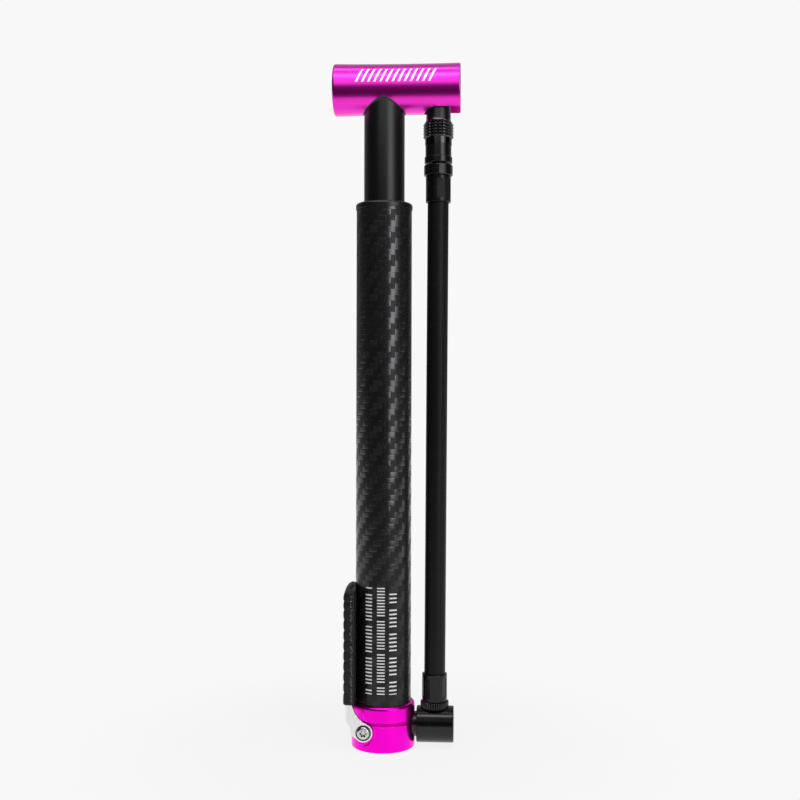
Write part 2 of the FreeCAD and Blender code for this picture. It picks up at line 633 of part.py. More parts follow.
def peg_cheek():
    """The outline of one cheek of the lever in the XZ plane, as a face at y = 0."""
    px, pz = PEG_PIVOT_X, PEG_PIVOT_Z

    def at(dx, dz):
        return V(px + dx, 0, pz + dz)

    back = PEG_BACK_X - px
    ear = PEG_EAR_R
    top = PEG_TOP_Z - pz
    inner = PEG_FLANGE_INNER_X - px
    ear_left = at(-ear * math.cos(math.radians(62)), -ear * math.sin(math.radians(62)))
    ear_right = at(ear * math.cos(math.radians(66)), ear * math.sin(math.radians(66)))
    edges = [
        Part.LineSegment(at(back, top), at(back, 4.7)).toShape(),
        Part.Arc(at(back, 4.7), at(-6.3, 2.9), at(-5.35, -0.9)).toShape(),
        Part.LineSegment(at(-5.35, -0.9), ear_left).toShape(),
        Part.Arc(ear_left, at(ear * math.cos(-0.6), ear * math.sin(-0.6)), ear_right).toShape(),
        Part.Arc(ear_right, at(-1.6, 5.75), at(-4.3, 10.1)).toShape(),
        Part.LineSegment(at(-4.3, 10.1), at(inner, 12.4)).toShape(),
        Part.LineSegment(at(inner, 12.4), at(inner, top)).toShape(),
        Part.LineSegment(at(inner, top), at(back, top)).toShape(),
    ]
    return Part.Face(Part.Wire(edges))


def peg_lever():
    y0, y1 = PEG_FLANGE_Y
    cheek = peg_cheek()
    cheek.translate(V(0, y0, 0))
    flange = cheek.extrude(V(0, y1 - y0, 0))
    outer_edges = [e for e in flange.Edges
                   if abs(e.CenterOfMass.y - y1) < 0.01 and e.CenterOfMass.x > PEG_BACK_X + 0.1]
    flange = flange.makeFillet(PEG_EDGE_R, outer_edges)
    pocket = rod_y(SCREW_HEAD_POCKET_R, y1 - SCREW_HEAD_POCKET_DEPTH, y1, PEG_PIVOT_X, PEG_PIVOT_Z)
    hole = rod_y(SCREW_SHOULDER_R + RUNNING, y0, y1, PEG_PIVOT_X, PEG_PIVOT_Z)
    flange = flange.cut(pocket).cut(hole)
    web = box((PEG_BACK_X, PEG_BACK_X + PEG_WEB_THICKNESS), (-y1, y1), (PEG_WEB_FOOT_Z, PEG_TOP_Z))
    body = web
    for side in mirrored_y(flange):
        body = body.fuse(side)
    outline = box((PEG_BACK_X, PEG_PIVOT_X + 8), (-y1, y1), (PEG_PIVOT_Z - 6, PEG_TOP_Z))
    corners = [e for e in outline.Edges
               if abs(e.CenterOfMass.x - PEG_BACK_X) < 0.01 and abs(abs(e.CenterOfMass.y) - y1) < 0.01]
    return body.common(outline.makeFillet(PEG_BEND_R, corners))


def peg_grip():
    """The rubber pad: ribbed outside, crowned on top, hollowed to follow the barrel inside."""
    x, y = GRIP_X[0], GRIP_HALF_WIDTH
    low, shoulder, crown = GRIP_Z[0], GRIP_Z[1] - GRIP_CROWN, GRIP_Z[1]
    edges = [
        Part.LineSegment(V(x, -y, low), V(x, -y, shoulder)).toShape(),
        Part.Arc(V(x, -y, shoulder), V(x, 0, crown), V(x, y, shoulder)).toShape(),
        Part.LineSegment(V(x, y, shoulder), V(x, y, low)).toShape(),
        Part.LineSegment(V(x, y, low), V(x, -y, low)).toShape(),
    ]
    pad = Part.Face(Part.Wire(edges)).extrude(V(GRIP_X[1] - x, 0, 0))
    ends = [e for e in pad.Edges
            if abs(e.CenterOfMass.x - x) < 0.01 and abs(e.CenterOfMass.y) < 0.01]
    pad = pad.makeFillet(GRIP_CORNER_R, ends)
    pad = pad.cut(rod_z(TUBE_R + GAP + 0.1, GRIP_Z[0], GRIP_Z[1]))
    count = int((GRIP_Z[1] - GRIP_Z[0] - GRIP_RIB_PITCH) / GRIP_RIB_PITCH)
    first = (GRIP_Z[0] + GRIP_Z[1] - (count - 1) * GRIP_RIB_PITCH) / 2
    for i in range(count):
        z = first + i * GRIP_RIB_PITCH
        pad = pad.cut(box((GRIP_X[0], GRIP_X[0] + GRIP_GROOVE_DEPTH), (-GRIP_HALF_WIDTH, GRIP_HALF_WIDTH),
                          (z - GRIP_GROOVE_WIDTH / 2, z + GRIP_GROOVE_WIDTH / 2)))
    return pad.cut(peg_lever())


def star_socket(y_mouth, depth):
    """A six-lobed driver socket as a cutting tool, from its mouth towards +Y."""
    tool = rod_y(SCREW_STAR_R * 0.78, y_mouth, y_mouth + depth, PEG_PIVOT_X, PEG_PIVOT_Z)
    for i in range(SCREW_STAR_LOBES):
        turn = 2 * math.pi * i / SCREW_STAR_LOBES
        x = PEG_PIVOT_X + SCREW_STAR_R * 0.78 * math.cos(turn)
        z = PEG_PIVOT_Z + SCREW_STAR_R * 0.78 * math.sin(turn)
        tool = tool.fuse(rod_y(SCREW_STAR_R * 0.3, y_mouth, y_mouth + depth, x, z))
    return tool


def peg_screws():
    """Two shoulder screws with rounded heads, one each side, as separate solids."""
    seat_y = PEG_FLANGE_Y[1] - SCREW_HEAD_POCKET_DEPTH + 0.04
    face_y = seat_y + SCREW_HEAD_HEIGHT
    head = rod_y(SCREW_HEAD_R, -face_y, -seat_y, PEG_PIVOT_X, PEG_PIVOT_Z)
    rim = [e for e in head.Edges if abs(e.CenterOfMass.y + face_y) < 0.01]
    head = head.makeFillet(0.9, rim)
    shoulder = rod_y(SCREW_SHOULDER_R, -seat_y, -PEG_SEAT_Y, PEG_PIVOT_X, PEG_PIVOT_Z)
    thread = rod_y(SCREW_THREAD_R, -PEG_SEAT_Y, -SCREW_TIP_Y, PEG_PIVOT_X, PEG_PIVOT_Z)
    screw = head.fuse(shoulder).fuse(thread)
    screw = screw.cut(star_socket(-face_y - 0.1, SCREW_STAR_DEPTH + 0.1))
    return Part.makeCompound(mirrored_y(screw.removeSplitter()))


def peg_washers():
    y0, y1 = -PEG_SEAT_Y - PEG_WASHER_THICKNESS, -PEG_SEAT_Y
    washer = rod_y(PEG_EAR_R - 0.1, y0, y1, PEG_PIVOT_X, PEG_PIVOT_Z)
    washer = washer.cut(rod_y(SCREW_SHOULDER_R, y0, y1, PEG_PIVOT_X, PEG_PIVOT_Z))
    return Part.makeCompound(mirrored_y(washer))


PARTS = {
    "barrel_tube": barrel_tube,
    "cylinder_liner": cylinder_liner,
    "barrel_cap": barrel_cap,
    "rod_bush": rod_bush,
    "wiper_seal": wiper_seal,
    "tube_seal_ring": tube_seal_ring,
    "base_cup": base_cup,
    "valve_seat": valve_seat,
    "valve_poppet": valve_poppet,
    "valve_spring": valve_spring,
    "piston_rod": piston_rod,
    "rod_end_plug": rod_end_plug,
    "rod_top_plug": rod_top_plug,
    "piston_head": piston_head,
    "piston_seal": piston_seal,
    "piston_guide_ring": piston_guide_ring,
    "piston_screw": piston_screw,
    "top_out_bumper": top_out_bumper,
    "handle": handle,
    "handle_collar": handle_collar,
    "neck_washer": neck_washer,
    "hose_elbow": hose_elbow,
    "swivel_bolt": swivel_bolt,
    "elbow_seals": elbow_seals,
    "knurled_collar": knurled_collar,
    "lower_barb": lower_barb,
    "lower_ferrule": lambda: crimped_ferrule(HOSE_FOOT_X, LOWER_FERRULE_Z),
    "hose": hose,
    "upper_barb": upper_barb,
    "upper_ferrule": lambda: crimped_ferrule(HOSE_HEAD_X, UPPER_FERRULE_Z),
    "chuck_stem": chuck_stem,
    "valve_pin": valve_pin,
    "chuck_flange_ring": chuck_flange_ring,
    "chuck_sleeve": chuck_sleeve,
    "chuck_head": chuck_head,
    "chuck_gasket": chuck_gasket,
    "peg_lever": peg_lever,
    "peg_grip": peg_grip,
    "peg_screws": peg_screws,
    "peg_washers": peg_washers,
}


os.makedirs("parts", exist_ok=True)
for part_name, make in PARTS.items():
    save(part_name, make())
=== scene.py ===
"""Looks for the mini pump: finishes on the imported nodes, soft pieces, stage, light and camera.

Lengths are in millimetres where a class says so and in metres elsewhere; every mesh is made in
metres. +Z runs up the barrel, +X points to the hose and -Y is the front.
"""

import bmesh
import bpy
import logging
import math
import random
from dataclasses import dataclass
from enum import Enum
from mathutils import Matrix, Vector


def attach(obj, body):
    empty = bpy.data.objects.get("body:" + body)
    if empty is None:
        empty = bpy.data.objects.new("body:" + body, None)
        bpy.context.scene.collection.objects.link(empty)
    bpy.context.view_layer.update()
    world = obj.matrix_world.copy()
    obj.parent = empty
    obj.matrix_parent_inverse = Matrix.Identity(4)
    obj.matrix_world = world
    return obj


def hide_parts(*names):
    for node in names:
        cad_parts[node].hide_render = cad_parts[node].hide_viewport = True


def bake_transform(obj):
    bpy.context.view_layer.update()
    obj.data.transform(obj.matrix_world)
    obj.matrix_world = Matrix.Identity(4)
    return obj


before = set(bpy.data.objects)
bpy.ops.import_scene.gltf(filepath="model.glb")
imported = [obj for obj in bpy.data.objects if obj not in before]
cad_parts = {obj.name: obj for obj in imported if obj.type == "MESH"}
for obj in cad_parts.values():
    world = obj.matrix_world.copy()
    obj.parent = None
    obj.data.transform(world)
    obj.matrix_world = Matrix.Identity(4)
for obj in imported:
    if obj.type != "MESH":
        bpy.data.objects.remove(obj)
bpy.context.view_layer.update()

MM = 0.001
LOG = logging.getLogger("pump")

Colour = tuple[float, float, float]
Source = object


class Body(str, Enum):
    """The bodies that the new pieces ride on."""

    BARREL = "barrel"
    FOOT_PEG = "foot_peg"
    HOSE_END = "hose_end"
    CHUCK = "chuck"


class Slot(str, Enum):
    """Some of the record's material slots; nothing in the script reads them."""

    HOSE_RUBBER = "hose_rubber"
    GRIP_RUBBER = "grip_rubber"
    BLACK_GLOSS = "black_gloss"


def rgba(colour: Colour) -> tuple[float, float, float, float]:
    """Return a colour with full opacity."""
    return (*colour, 1.0)


# --- node graphs ------------------------------------------------------------------------------


class Graph:
    """Adds and wires the nodes of one material, world or node group."""

    def __init__(self, tree: bpy.types.NodeTree) -> None:
        """Keep the tree that the nodes go in."""
        self.tree = tree

    def add(self, kind: str, **settings: object) -> bpy.types.Node:
        """Add one node.

        Args:
            kind: The node's type name without the ShaderNode prefix.
            settings: Attributes to set on the node.

        Returns:
            The new node.
        """
        node = self.tree.nodes.new("ShaderNode" + kind)
        for name, value in settings.items():
            setattr(node, name, value)
        return node

    def feed(self, socket: bpy.types.NodeSocket, source: Source) -> None:
        """Wire a socket to another, or give it a constant."""
        if isinstance(source, bpy.types.NodeSocket):
            self.tree.links.new(source, socket)
        else:
            socket.default_value = source

    def call(self, kind: str, inputs: dict, output: int | str = 0,
             **settings: object) -> bpy.types.NodeSocket:
        """Add a node, feed its inputs and return one of its outputs.

        Args:
            kind: The node's type name without the prefix.
            inputs: Sources by the input's name or number.
            output: The output's name or number.
            settings: Attributes to set on the node.

        Returns:
            The chosen output socket.
        """
        node = self.add(kind, **settings)
        for key, source in inputs.items():
            self.feed(node.inputs[key], source)
        return node.outputs[output]

    def math(self, operation: str, *sources: Source) -> bpy.types.NodeSocket:
        """Return the result of one arithmetic step."""
        return self.call("Math", dict(enumerate(sources)), operation=operation)

    def ramp(self, source: Source, start: float, end: float) -> bpy.types.NodeSocket:
        """Return 0 below start and 1 above end, with a smooth step between."""
        return self.call("MapRange", {"Value": source, "From Min": start, "From Max": end},
                         interpolation_type="SMOOTHSTEP")

    def lerp(self, factor: Source, low: Source, high: Source) -> bpy.types.NodeSocket:
        """Return the value between low and high at the factor."""
        return self.call("Mix", {0: factor, 2: low, 3: high}, 0, data_type="FLOAT")

    def tint(self, factor: Source, first: Source, second: Source) -> bpy.types.NodeSocket:
        """Return the colour between two others at the factor."""
        return self.call("Mix", {0: factor, 6: first, 7: second}, 2, data_type="RGBA")

    def place(self) -> bpy.types.NodeSocket:
        """Return the object coordinates, in metres."""
        return self.call("TexCoord", {}, "Object")

    def axes(self, vector: Source) -> tuple[bpy.types.NodeSocket, ...]:
        """Return the X, Y and Z of a vector."""
        return tuple(self.call("SeparateXYZ", {0: vector}, axis) for axis in "XYZ")

    def band(self, source: Source, centre: float, half: float, soft: float) -> bpy.types.NodeSocket:
        """Return 1 within half of the centre and 0 outside, with a soft edge."""
        distance = self.math("ABSOLUTE", self.math("SUBTRACT", source, centre))
        return self.math("SUBTRACT", 1.0, self.ramp(distance, half - soft, half + soft))

    def effect(self, effect: "Effect", **inputs: Source) -> bpy.types.Node:
        """Place a shared effect and feed its named inputs."""
        node = self.add("Group", node_tree=effect.tree())
        for name, source in inputs.items():
            self.feed(node.inputs[name.replace("_", " ")], source)
        return node


class Effect:
    """A shader node group that several finishes share, built once."""

    name = "effect"
    inputs: dict[str, float] = {}
    outputs: tuple[str, ...] = ()

    def tree(self) -> bpy.types.NodeTree:
        """Return the node group, building it at the first call."""
        found = bpy.data.node_groups.get(self.name)
        if found:
            return found
        tree = bpy.data.node_groups.new(self.name, "ShaderNodeTree")
        for name, value in self.inputs.items():
            kind = "NodeSocketVector" if name == "Vector" else "NodeSocketFloat"
            socket = tree.interface.new_socket(name=name, in_out="INPUT", socket_type=kind)
            if name != "Vector":
                socket.default_value = value
        for name in self.outputs:
            tree.interface.new_socket(name=name, in_out="OUTPUT", socket_type="NodeSocketFloat")
        graph = Graph(tree)
        entry = tree.nodes.new("NodeGroupInput")
        leave = tree.nodes.new("NodeGroupOutput")
        for name, source in self.wire(graph, entry.outputs).items():
            graph.feed(leave.inputs[name], source)
        return tree

    def wire(self, graph: Graph, given: bpy.types.NodeInputs) -> dict[str, Source]:
        """Build the group's nodes and return a source for each output."""
        raise NotImplementedError


class Grain(Effect):
    """Fine surface grain: a height for a bump and a slow shade variation."""

    name = "surface_grain"
    inputs = {"Vector": 0.0, "Scale": 2000.0, "Patch Scale": 60.0}
    outputs = ("Height", "Patch")

    def wire(self, graph: Graph, given: bpy.types.NodeInputs) -> dict[str, Source]:
        """Mix two noises: one at the grain's scale and one in wide patches."""
        fine = graph.call("TexNoise", {"Vector": given["Vector"], "Scale": given["Scale"],
                                       "Detail": 3.0, "Roughness": 0.6})
        patch = graph.call("TexNoise", {"Vector": given["Vector"], "Scale": given["Patch Scale"],
                                        "Detail": 2.0, "Distortion": 0.4})
        return {"Height": fine, "Patch": graph.ramp(patch, 0.3, 0.7)}


class EdgeWearAndHighlight(Effect):
    """A mask of the outer edges, broken up by noise: edge wear, and also a painted highlight along
    the rims.
    """

    name = "edge_wear_and_highlight"
    inputs = {"Vector": 0.0, "Radius": 0.0003, "Scale": 500.0}
    outputs = ("Mask",)

    def wire(self, graph: Graph, given: bpy.types.NodeInputs) -> dict[str, Source]:
        """Compare the rounded normal with the true one and break the result up."""
        rounded = graph.call("Bevel", {"Radius": given["Radius"]}, samples=6)
        true = graph.call("NewGeometry", {}, "Normal")
        agree = graph.call("VectorMath", {0: rounded, 1: true}, "Value", operation="DOT_PRODUCT")
        edge = graph.ramp(graph.math("SUBTRACT", 1.0, agree), 0.02, 0.22)
        noise = graph.call("TexNoise", {"Vector": given["Vector"], "Scale": given["Scale"],
                                        "Detail": 4.0})
        return {"Mask": graph.math("MULTIPLY", edge, graph.ramp(noise, 0.35, 0.6))}


class PaintedHollowShade(Effect):
    """Painted shade: a mask of the narrow gaps and sockets, where light is shut out."""

    name = "hollow_shade"
    inputs = {"Depth": 0.001}
    outputs = ("Mask",)

    def wire(self, graph: Graph, given: bpy.types.NodeInputs) -> dict[str, Source]:
        """Turn the share of nearby space that is closed into a mask."""
        openness = graph.call("AmbientOcclusion", {"Distance": given["Depth"]}, "AO", samples=8)
        return {"Mask": graph.math("SUBTRACT", 1.0, graph.ramp(openness, 0.3, 0.85))}


class Dust(Effect):
    """Fine dust and handling marks, thicker on faces that look up."""

    name = "dust_and_marks"
    inputs = {"Vector": 0.0, "Amount": 0.2}
    outputs = ("Mask",)

    def wire(self, graph: Graph, given: bpy.types.NodeInputs) -> dict[str, Source]:
        """Multiply smudges, specks and the upward slope."""
        smudge = graph.call("TexNoise", {"Vector": given["Vector"], "Scale": 90.0,
                                         "Detail": 5.0, "Distortion": 1.2})
        speck = graph.call("TexVoronoi", {"Vector": given["Vector"], "Scale": 900.0}, "Distance")
        normal = graph.call("NewGeometry", {}, "Normal")
        up = graph.ramp(graph.axes(normal)[2], -0.2, 1.0)
        marks = graph.math("ADD", graph.ramp(smudge, 0.45, 0.75),
                           graph.math("SUBTRACT", 0.5, graph.ramp(speck, 0.05, 0.2)))
        lift = graph.math("MULTIPLY", marks, graph.lerp(up, 0.5, 1.0))
        return {"Mask": graph.call("Clamp", {0: graph.math("MULTIPLY", lift, given["Amount"])})}


class Twill(Effect):
    """A two-by-two twill laid round the vertical axis, as tows of woven fibre."""

    name = "twill_weave"
    inputs = {"Vector": 0.0, "Columns": 40.0, "Row Height": 0.00243}
    outputs = ("Weft", "Height", "Tow", "Fibre")
    tow_half, tow_soft = 0.36, 0.14
    float_half, float_soft = 0.42, 0.1
    fibre_drawn, fibre_fine = 0.6, 16.0

    def wire(self, graph: Graph, given: bpy.types.NodeInputs) -> dict[str, Source]:
        """Find each point's column and row, which tow lies on top, and its crown."""
        x, y, z = graph.axes(given["Vector"])
        turn = graph.math("DIVIDE", graph.math("ARCTAN2", y, x), 2 * math.pi)
        across = graph.math("MULTIPLY", turn, given["Columns"])
        along = graph.math("DIVIDE", z, given["Row Height"])
        column, row = graph.math("FLOOR", across), graph.math("FLOOR", along)
        in_column = graph.math("SUBTRACT", across, column)
        in_row = graph.math("SUBTRACT", along, row)
        step = graph.math("FLOORED_MODULO", graph.math("SUBTRACT", column, row), 4.0)
        weft = graph.math("LESS_THAN", step, 1.5)
        crown_weft = graph.band(in_row, 0.5, self.tow_half, self.tow_soft)
        crown_warp = graph.band(in_column, 0.5, self.tow_half, self.tow_soft)
        float_run = graph.math("DIVIDE", graph.math("ADD", step, in_column), 2.0)
        weft_dip = graph.band(float_run, 0.5, self.float_half, self.float_soft)
        crown_weft = graph.math("MULTIPLY", crown_weft, graph.lerp(weft_dip, 0.4, 1.0))
        height = graph.lerp(weft, crown_warp, crown_weft)
        shade_weft = graph.call("TexWhiteNoise", {"W": row}, "Value", noise_dimensions="1D")
        shade_warp = graph.call("TexWhiteNoise", {"W": column}, "Value", noise_dimensions="1D")
        fibre_weft = self.fibres(graph, graph.math("MULTIPLY", across, self.fibre_drawn),
                                 graph.math("MULTIPLY", along, self.fibre_fine))
        fibre_warp = self.fibres(graph, graph.math("MULTIPLY", along, self.fibre_drawn),
                                 graph.math("MULTIPLY", across, self.fibre_fine))
        return {"Weft": weft, "Height": height, "Tow": graph.lerp(weft, shade_warp, shade_weft),
                "Fibre": graph.lerp(weft, fibre_warp, fibre_weft)}

    @staticmethod
    def fibres(graph: Graph, lengthways: Source, crossways: Source) -> bpy.types.NodeSocket:
        """Return noise drawn out along one direction of the weave."""
        place = graph.call("CombineXYZ", {0: lengthways, 1: crossways})
        return graph.call("TexNoise", {"Vector": place, "Scale": 1.0, "Detail": 2.0})


# --- finishes ---------------------------------------------------------------------------------


@dataclass(frozen=True)
class Finish:
    """A surface finish: colour, gloss, grain, edge wear with painted edge highlights, dust and
    painted shade in hollows.

    The grain's stretch divides its scale along X, Y and Z, so a turned part has lines
    round its axis.
    """

    name: str
    colour: Colour
    metallic: float = 0.0
    roughness: float = 0.4
    rough_spread: float = 0.08
    grain_scale: float = 2600.0
    grain_stretch: Colour = (1.0, 1.0, 1.0)
    grain_height: float = 0.00001
    patch_shade: float = 0.12
    wear: float = 0.3
    wear_highlight_radius: float = 0.00025
    wear_highlight_colour: Colour = (0.5, 0.5, 0.5)
    wear_highlight_metallic: float = 0.0
    dust: float = 0.1
    dust_colour: Colour = (0.32, 0.31, 0.30)
    dust_rough: float = 0.75
    coat: float = 0.0
    coat_roughness: float = 0.1
    coat_ior: float = 1.5
    ior: float = 1.5
    specular: float = 0.5
    sheen: float = 0.0
    sheen_roughness: float = 0.4
    hollow_shade: float = 0.0
    hollow_shade_depth: float = 0.001
    hollow_shade_colour: Colour = (0.01, 0.01, 0.01)

    def build(self) -> bpy.types.Material:
        """Build the material.

        Returns:
            A material whose shader reads grain, wear with painted edge highlights, dust and, where
            set, painted shade in hollows.
        """
        material = bpy.data.materials.new(self.name)
        material.use_nodes = True
        material.node_tree.nodes.clear()
        graph = Graph(material.node_tree)
        shader = self.shader(graph)
        output = graph.add("OutputMaterial")
        graph.feed(output.inputs["Surface"], shader.outputs[0])
        place = graph.place()
        stretched = graph.call("Mapping", {"Vector": place, "Scale": self.grain_stretch})
        grain = graph.effect(Grain(), Vector=stretched, Scale=self.grain_scale)
        wear = graph.effect(EdgeWearAndHighlight(), Vector=place, Radius=self.wear_highlight_radius).outputs[0]
        dust = graph.effect(Dust(), Vector=place, Amount=self.dust).outputs[0]
        wear = graph.math("MULTIPLY", wear, self.wear)

        dark = tuple(c * (1 - self.patch_shade) for c in self.colour)
        colour = graph.tint(grain.outputs["Patch"], rgba(dark), rgba(self.colour))
        # Painted highlight and wear: the edge mask lightens the rims towards the pale edge colour.
        colour = graph.tint(wear, colour, rgba(self.wear_highlight_colour))
        colour = graph.tint(dust, colour, rgba(self.dust_colour))
        # Painted shade: hollows such as the screw's socket are darkened towards the shade colour.
        if self.hollow_shade:
            gap = graph.effect(PaintedHollowShade(), Depth=self.hollow_shade_depth).outputs[0]
            shade = graph.math("MULTIPLY", gap, self.hollow_shade)
            colour = graph.tint(shade, colour, rgba(self.hollow_shade_colour))
        rough = graph.lerp(grain.outputs["Patch"], self.roughness - self.rough_spread / 2,
                           self.roughness + self.rough_spread / 2)
        rough = graph.lerp(dust, rough, self.dust_rough)
        metallic = graph.lerp(wear, self.metallic, max(self.metallic, self.wear_highlight_metallic))
        height = graph.math("MULTIPLY", grain.outputs["Height"], self.grain_height)
        surface = {"colour": colour, "rough": rough, "metallic": metallic, "height": height,
                   "coat": graph.math("MULTIPLY", graph.math("SUBTRACT", 1.0, dust), self.coat)}
        surface = self.overlay(graph, place, surface)
        graph.feed(shader.inputs["Base Color"], surface["colour"])
        graph.feed(shader.inputs["Roughness"], surface["rough"])
        graph.feed(shader.inputs["Metallic"], surface["metallic"])
        if self.coat:
            graph.feed(shader.inputs["Coat Weight"], surface["coat"])
        normal = graph.call("Bump", {"Height": surface["height"], "Distance": 1.0,
                                     "Strength": 1.0})
        graph.feed(shader.inputs["Normal"], normal)
        return material

    def shader(self, graph: Graph) -> bpy.types.Node:
        """Add the shader and set the sockets that are the same all over the surface."""
        shader = graph.add("BsdfPrincipled")
        shader.inputs["IOR"].default_value = self.ior
        shader.inputs["Specular IOR Level"].default_value = self.specular
        shader.inputs["Coat Roughness"].default_value = self.coat_roughness
        shader.inputs["Coat IOR"].default_value = self.coat_ior
        shader.inputs["Sheen Weight"].default_value = self.sheen
        shader.inputs["Sheen Roughness"].default_value = self.sheen_roughness
        return shader

    def overlay(self, graph: Graph, place: Source, surface: dict[str, Source]) -> dict[str, Source]:
        """Change the surface's sources for a finish with marks of its own."""
        return surface


@dataclass(frozen=True)
class HatchedAnodised(Finish):
    """Dyed anodised metal with a row of plain slanted bars etched on its upper front.

    The bars run along X about an axis at axis_z; their sizes are in metres and radians.
    """

    axis_z: float = 0.2845
    start_x: float = -0.0122
    end_x: float = 0.0216
    pitch: float = 0.0026
    slant: float = 0.0045
    fill: float = 0.36
    low: float = 0.06
    high: float = 0.66
    mark_colour: Colour = (1.0, 0.98, 1.0)
    mark_metallic: float = 0.35
    mark_rough: float = 0.5
    etch_depth: float = 0.00002

    def overlay(self, graph: Graph, place: Source, surface: dict[str, Source]) -> dict[str, Source]:
        """Etch the bars through the dye."""
        x, y, z = graph.axes(place)
        rise = graph.math("SUBTRACT", z, self.axis_z)
        angle = graph.math("ARCTAN2", rise, graph.math("MULTIPLY", y, -1.0))
        leaned = graph.math("SUBTRACT", x, graph.math("MULTIPLY", angle, self.slant))
        phase = graph.math("FRACT", graph.math("DIVIDE", leaned, self.pitch))
        bars = graph.band(phase, 0.5, self.fill / 2, 0.03)
        middle, half = (self.start_x + self.end_x) / 2, (self.end_x - self.start_x) / 2
        run = graph.band(leaned, middle, half, 0.00005)
        rows = graph.band(angle, (self.low + self.high) / 2, (self.high - self.low) / 2, 0.01)
        mark = graph.math("MULTIPLY", graph.math("MULTIPLY", bars, run), rows)
        return surface | {
            "colour": graph.tint(mark, surface["colour"], rgba(self.mark_colour)),
            "metallic": graph.lerp(mark, surface["metallic"], self.mark_metallic),
            "rough": graph.lerp(mark, surface["rough"], self.mark_rough),
            "height": graph.math("SUBTRACT", surface["height"],
                                 graph.math("MULTIPLY", mark, self.etch_depth)),
        }


@dataclass(frozen=True)
class BandedAnodised(Finish):
    """Dyed anodised metal with one duller turned band round it, between two heights; the band's
    darker colour is painted shade in the groove.
    """

    band_z: float = 0.0120
    band_half: float = 0.0007
    band_soft: float = 0.0001
    band_rough: float = 0.42
    band_shade_colour: Colour = (0.62, 0.002, 0.36)

    def overlay(self, graph: Graph, place: Source, surface: dict[str, Source]) -> dict[str, Source]:
        """Dull the band's floor and darken it with painted shade."""
        z = graph.axes(place)[2]
        band = graph.band(z, self.band_z, self.band_half, self.band_soft)
        return surface | {
            "colour": graph.tint(band, surface["colour"], rgba(self.band_shade_colour)),
            "rough": graph.lerp(band, surface["rough"], self.band_rough),
        }


@dataclass(frozen=True)
class KnurledBlack(Finish):
    """Bright black plating on a cut knurl, with a plain dark neck above a height."""

    neck_z: float = 0.2709
    neck_soft: float = 0.0001
    neck_rough: float = 0.3
    neck_colour: Colour = (0.004, 0.004, 0.0045)

    def overlay(self, graph: Graph, place: Source, surface: dict[str, Source]) -> dict[str, Source]:
        """Darken the neck."""
        neck = graph.ramp(graph.axes(place)[2], self.neck_z - self.neck_soft,
                          self.neck_z + self.neck_soft)
        return surface | {
            "colour": graph.tint(neck, surface["colour"], rgba(self.neck_colour)),
            "metallic": graph.lerp(neck, surface["metallic"], 0.0),
            "rough": graph.lerp(neck, surface["rough"], self.neck_rough),
        }


@dataclass(frozen=True)
class TickColumn:
    """A printed column of ticks: its turn round the tube in degrees, its heights and rhythm."""

    turn: float
    half_turn: float
    low: float
    high: float
    pitch: float
    fill: float
    rest_every: float


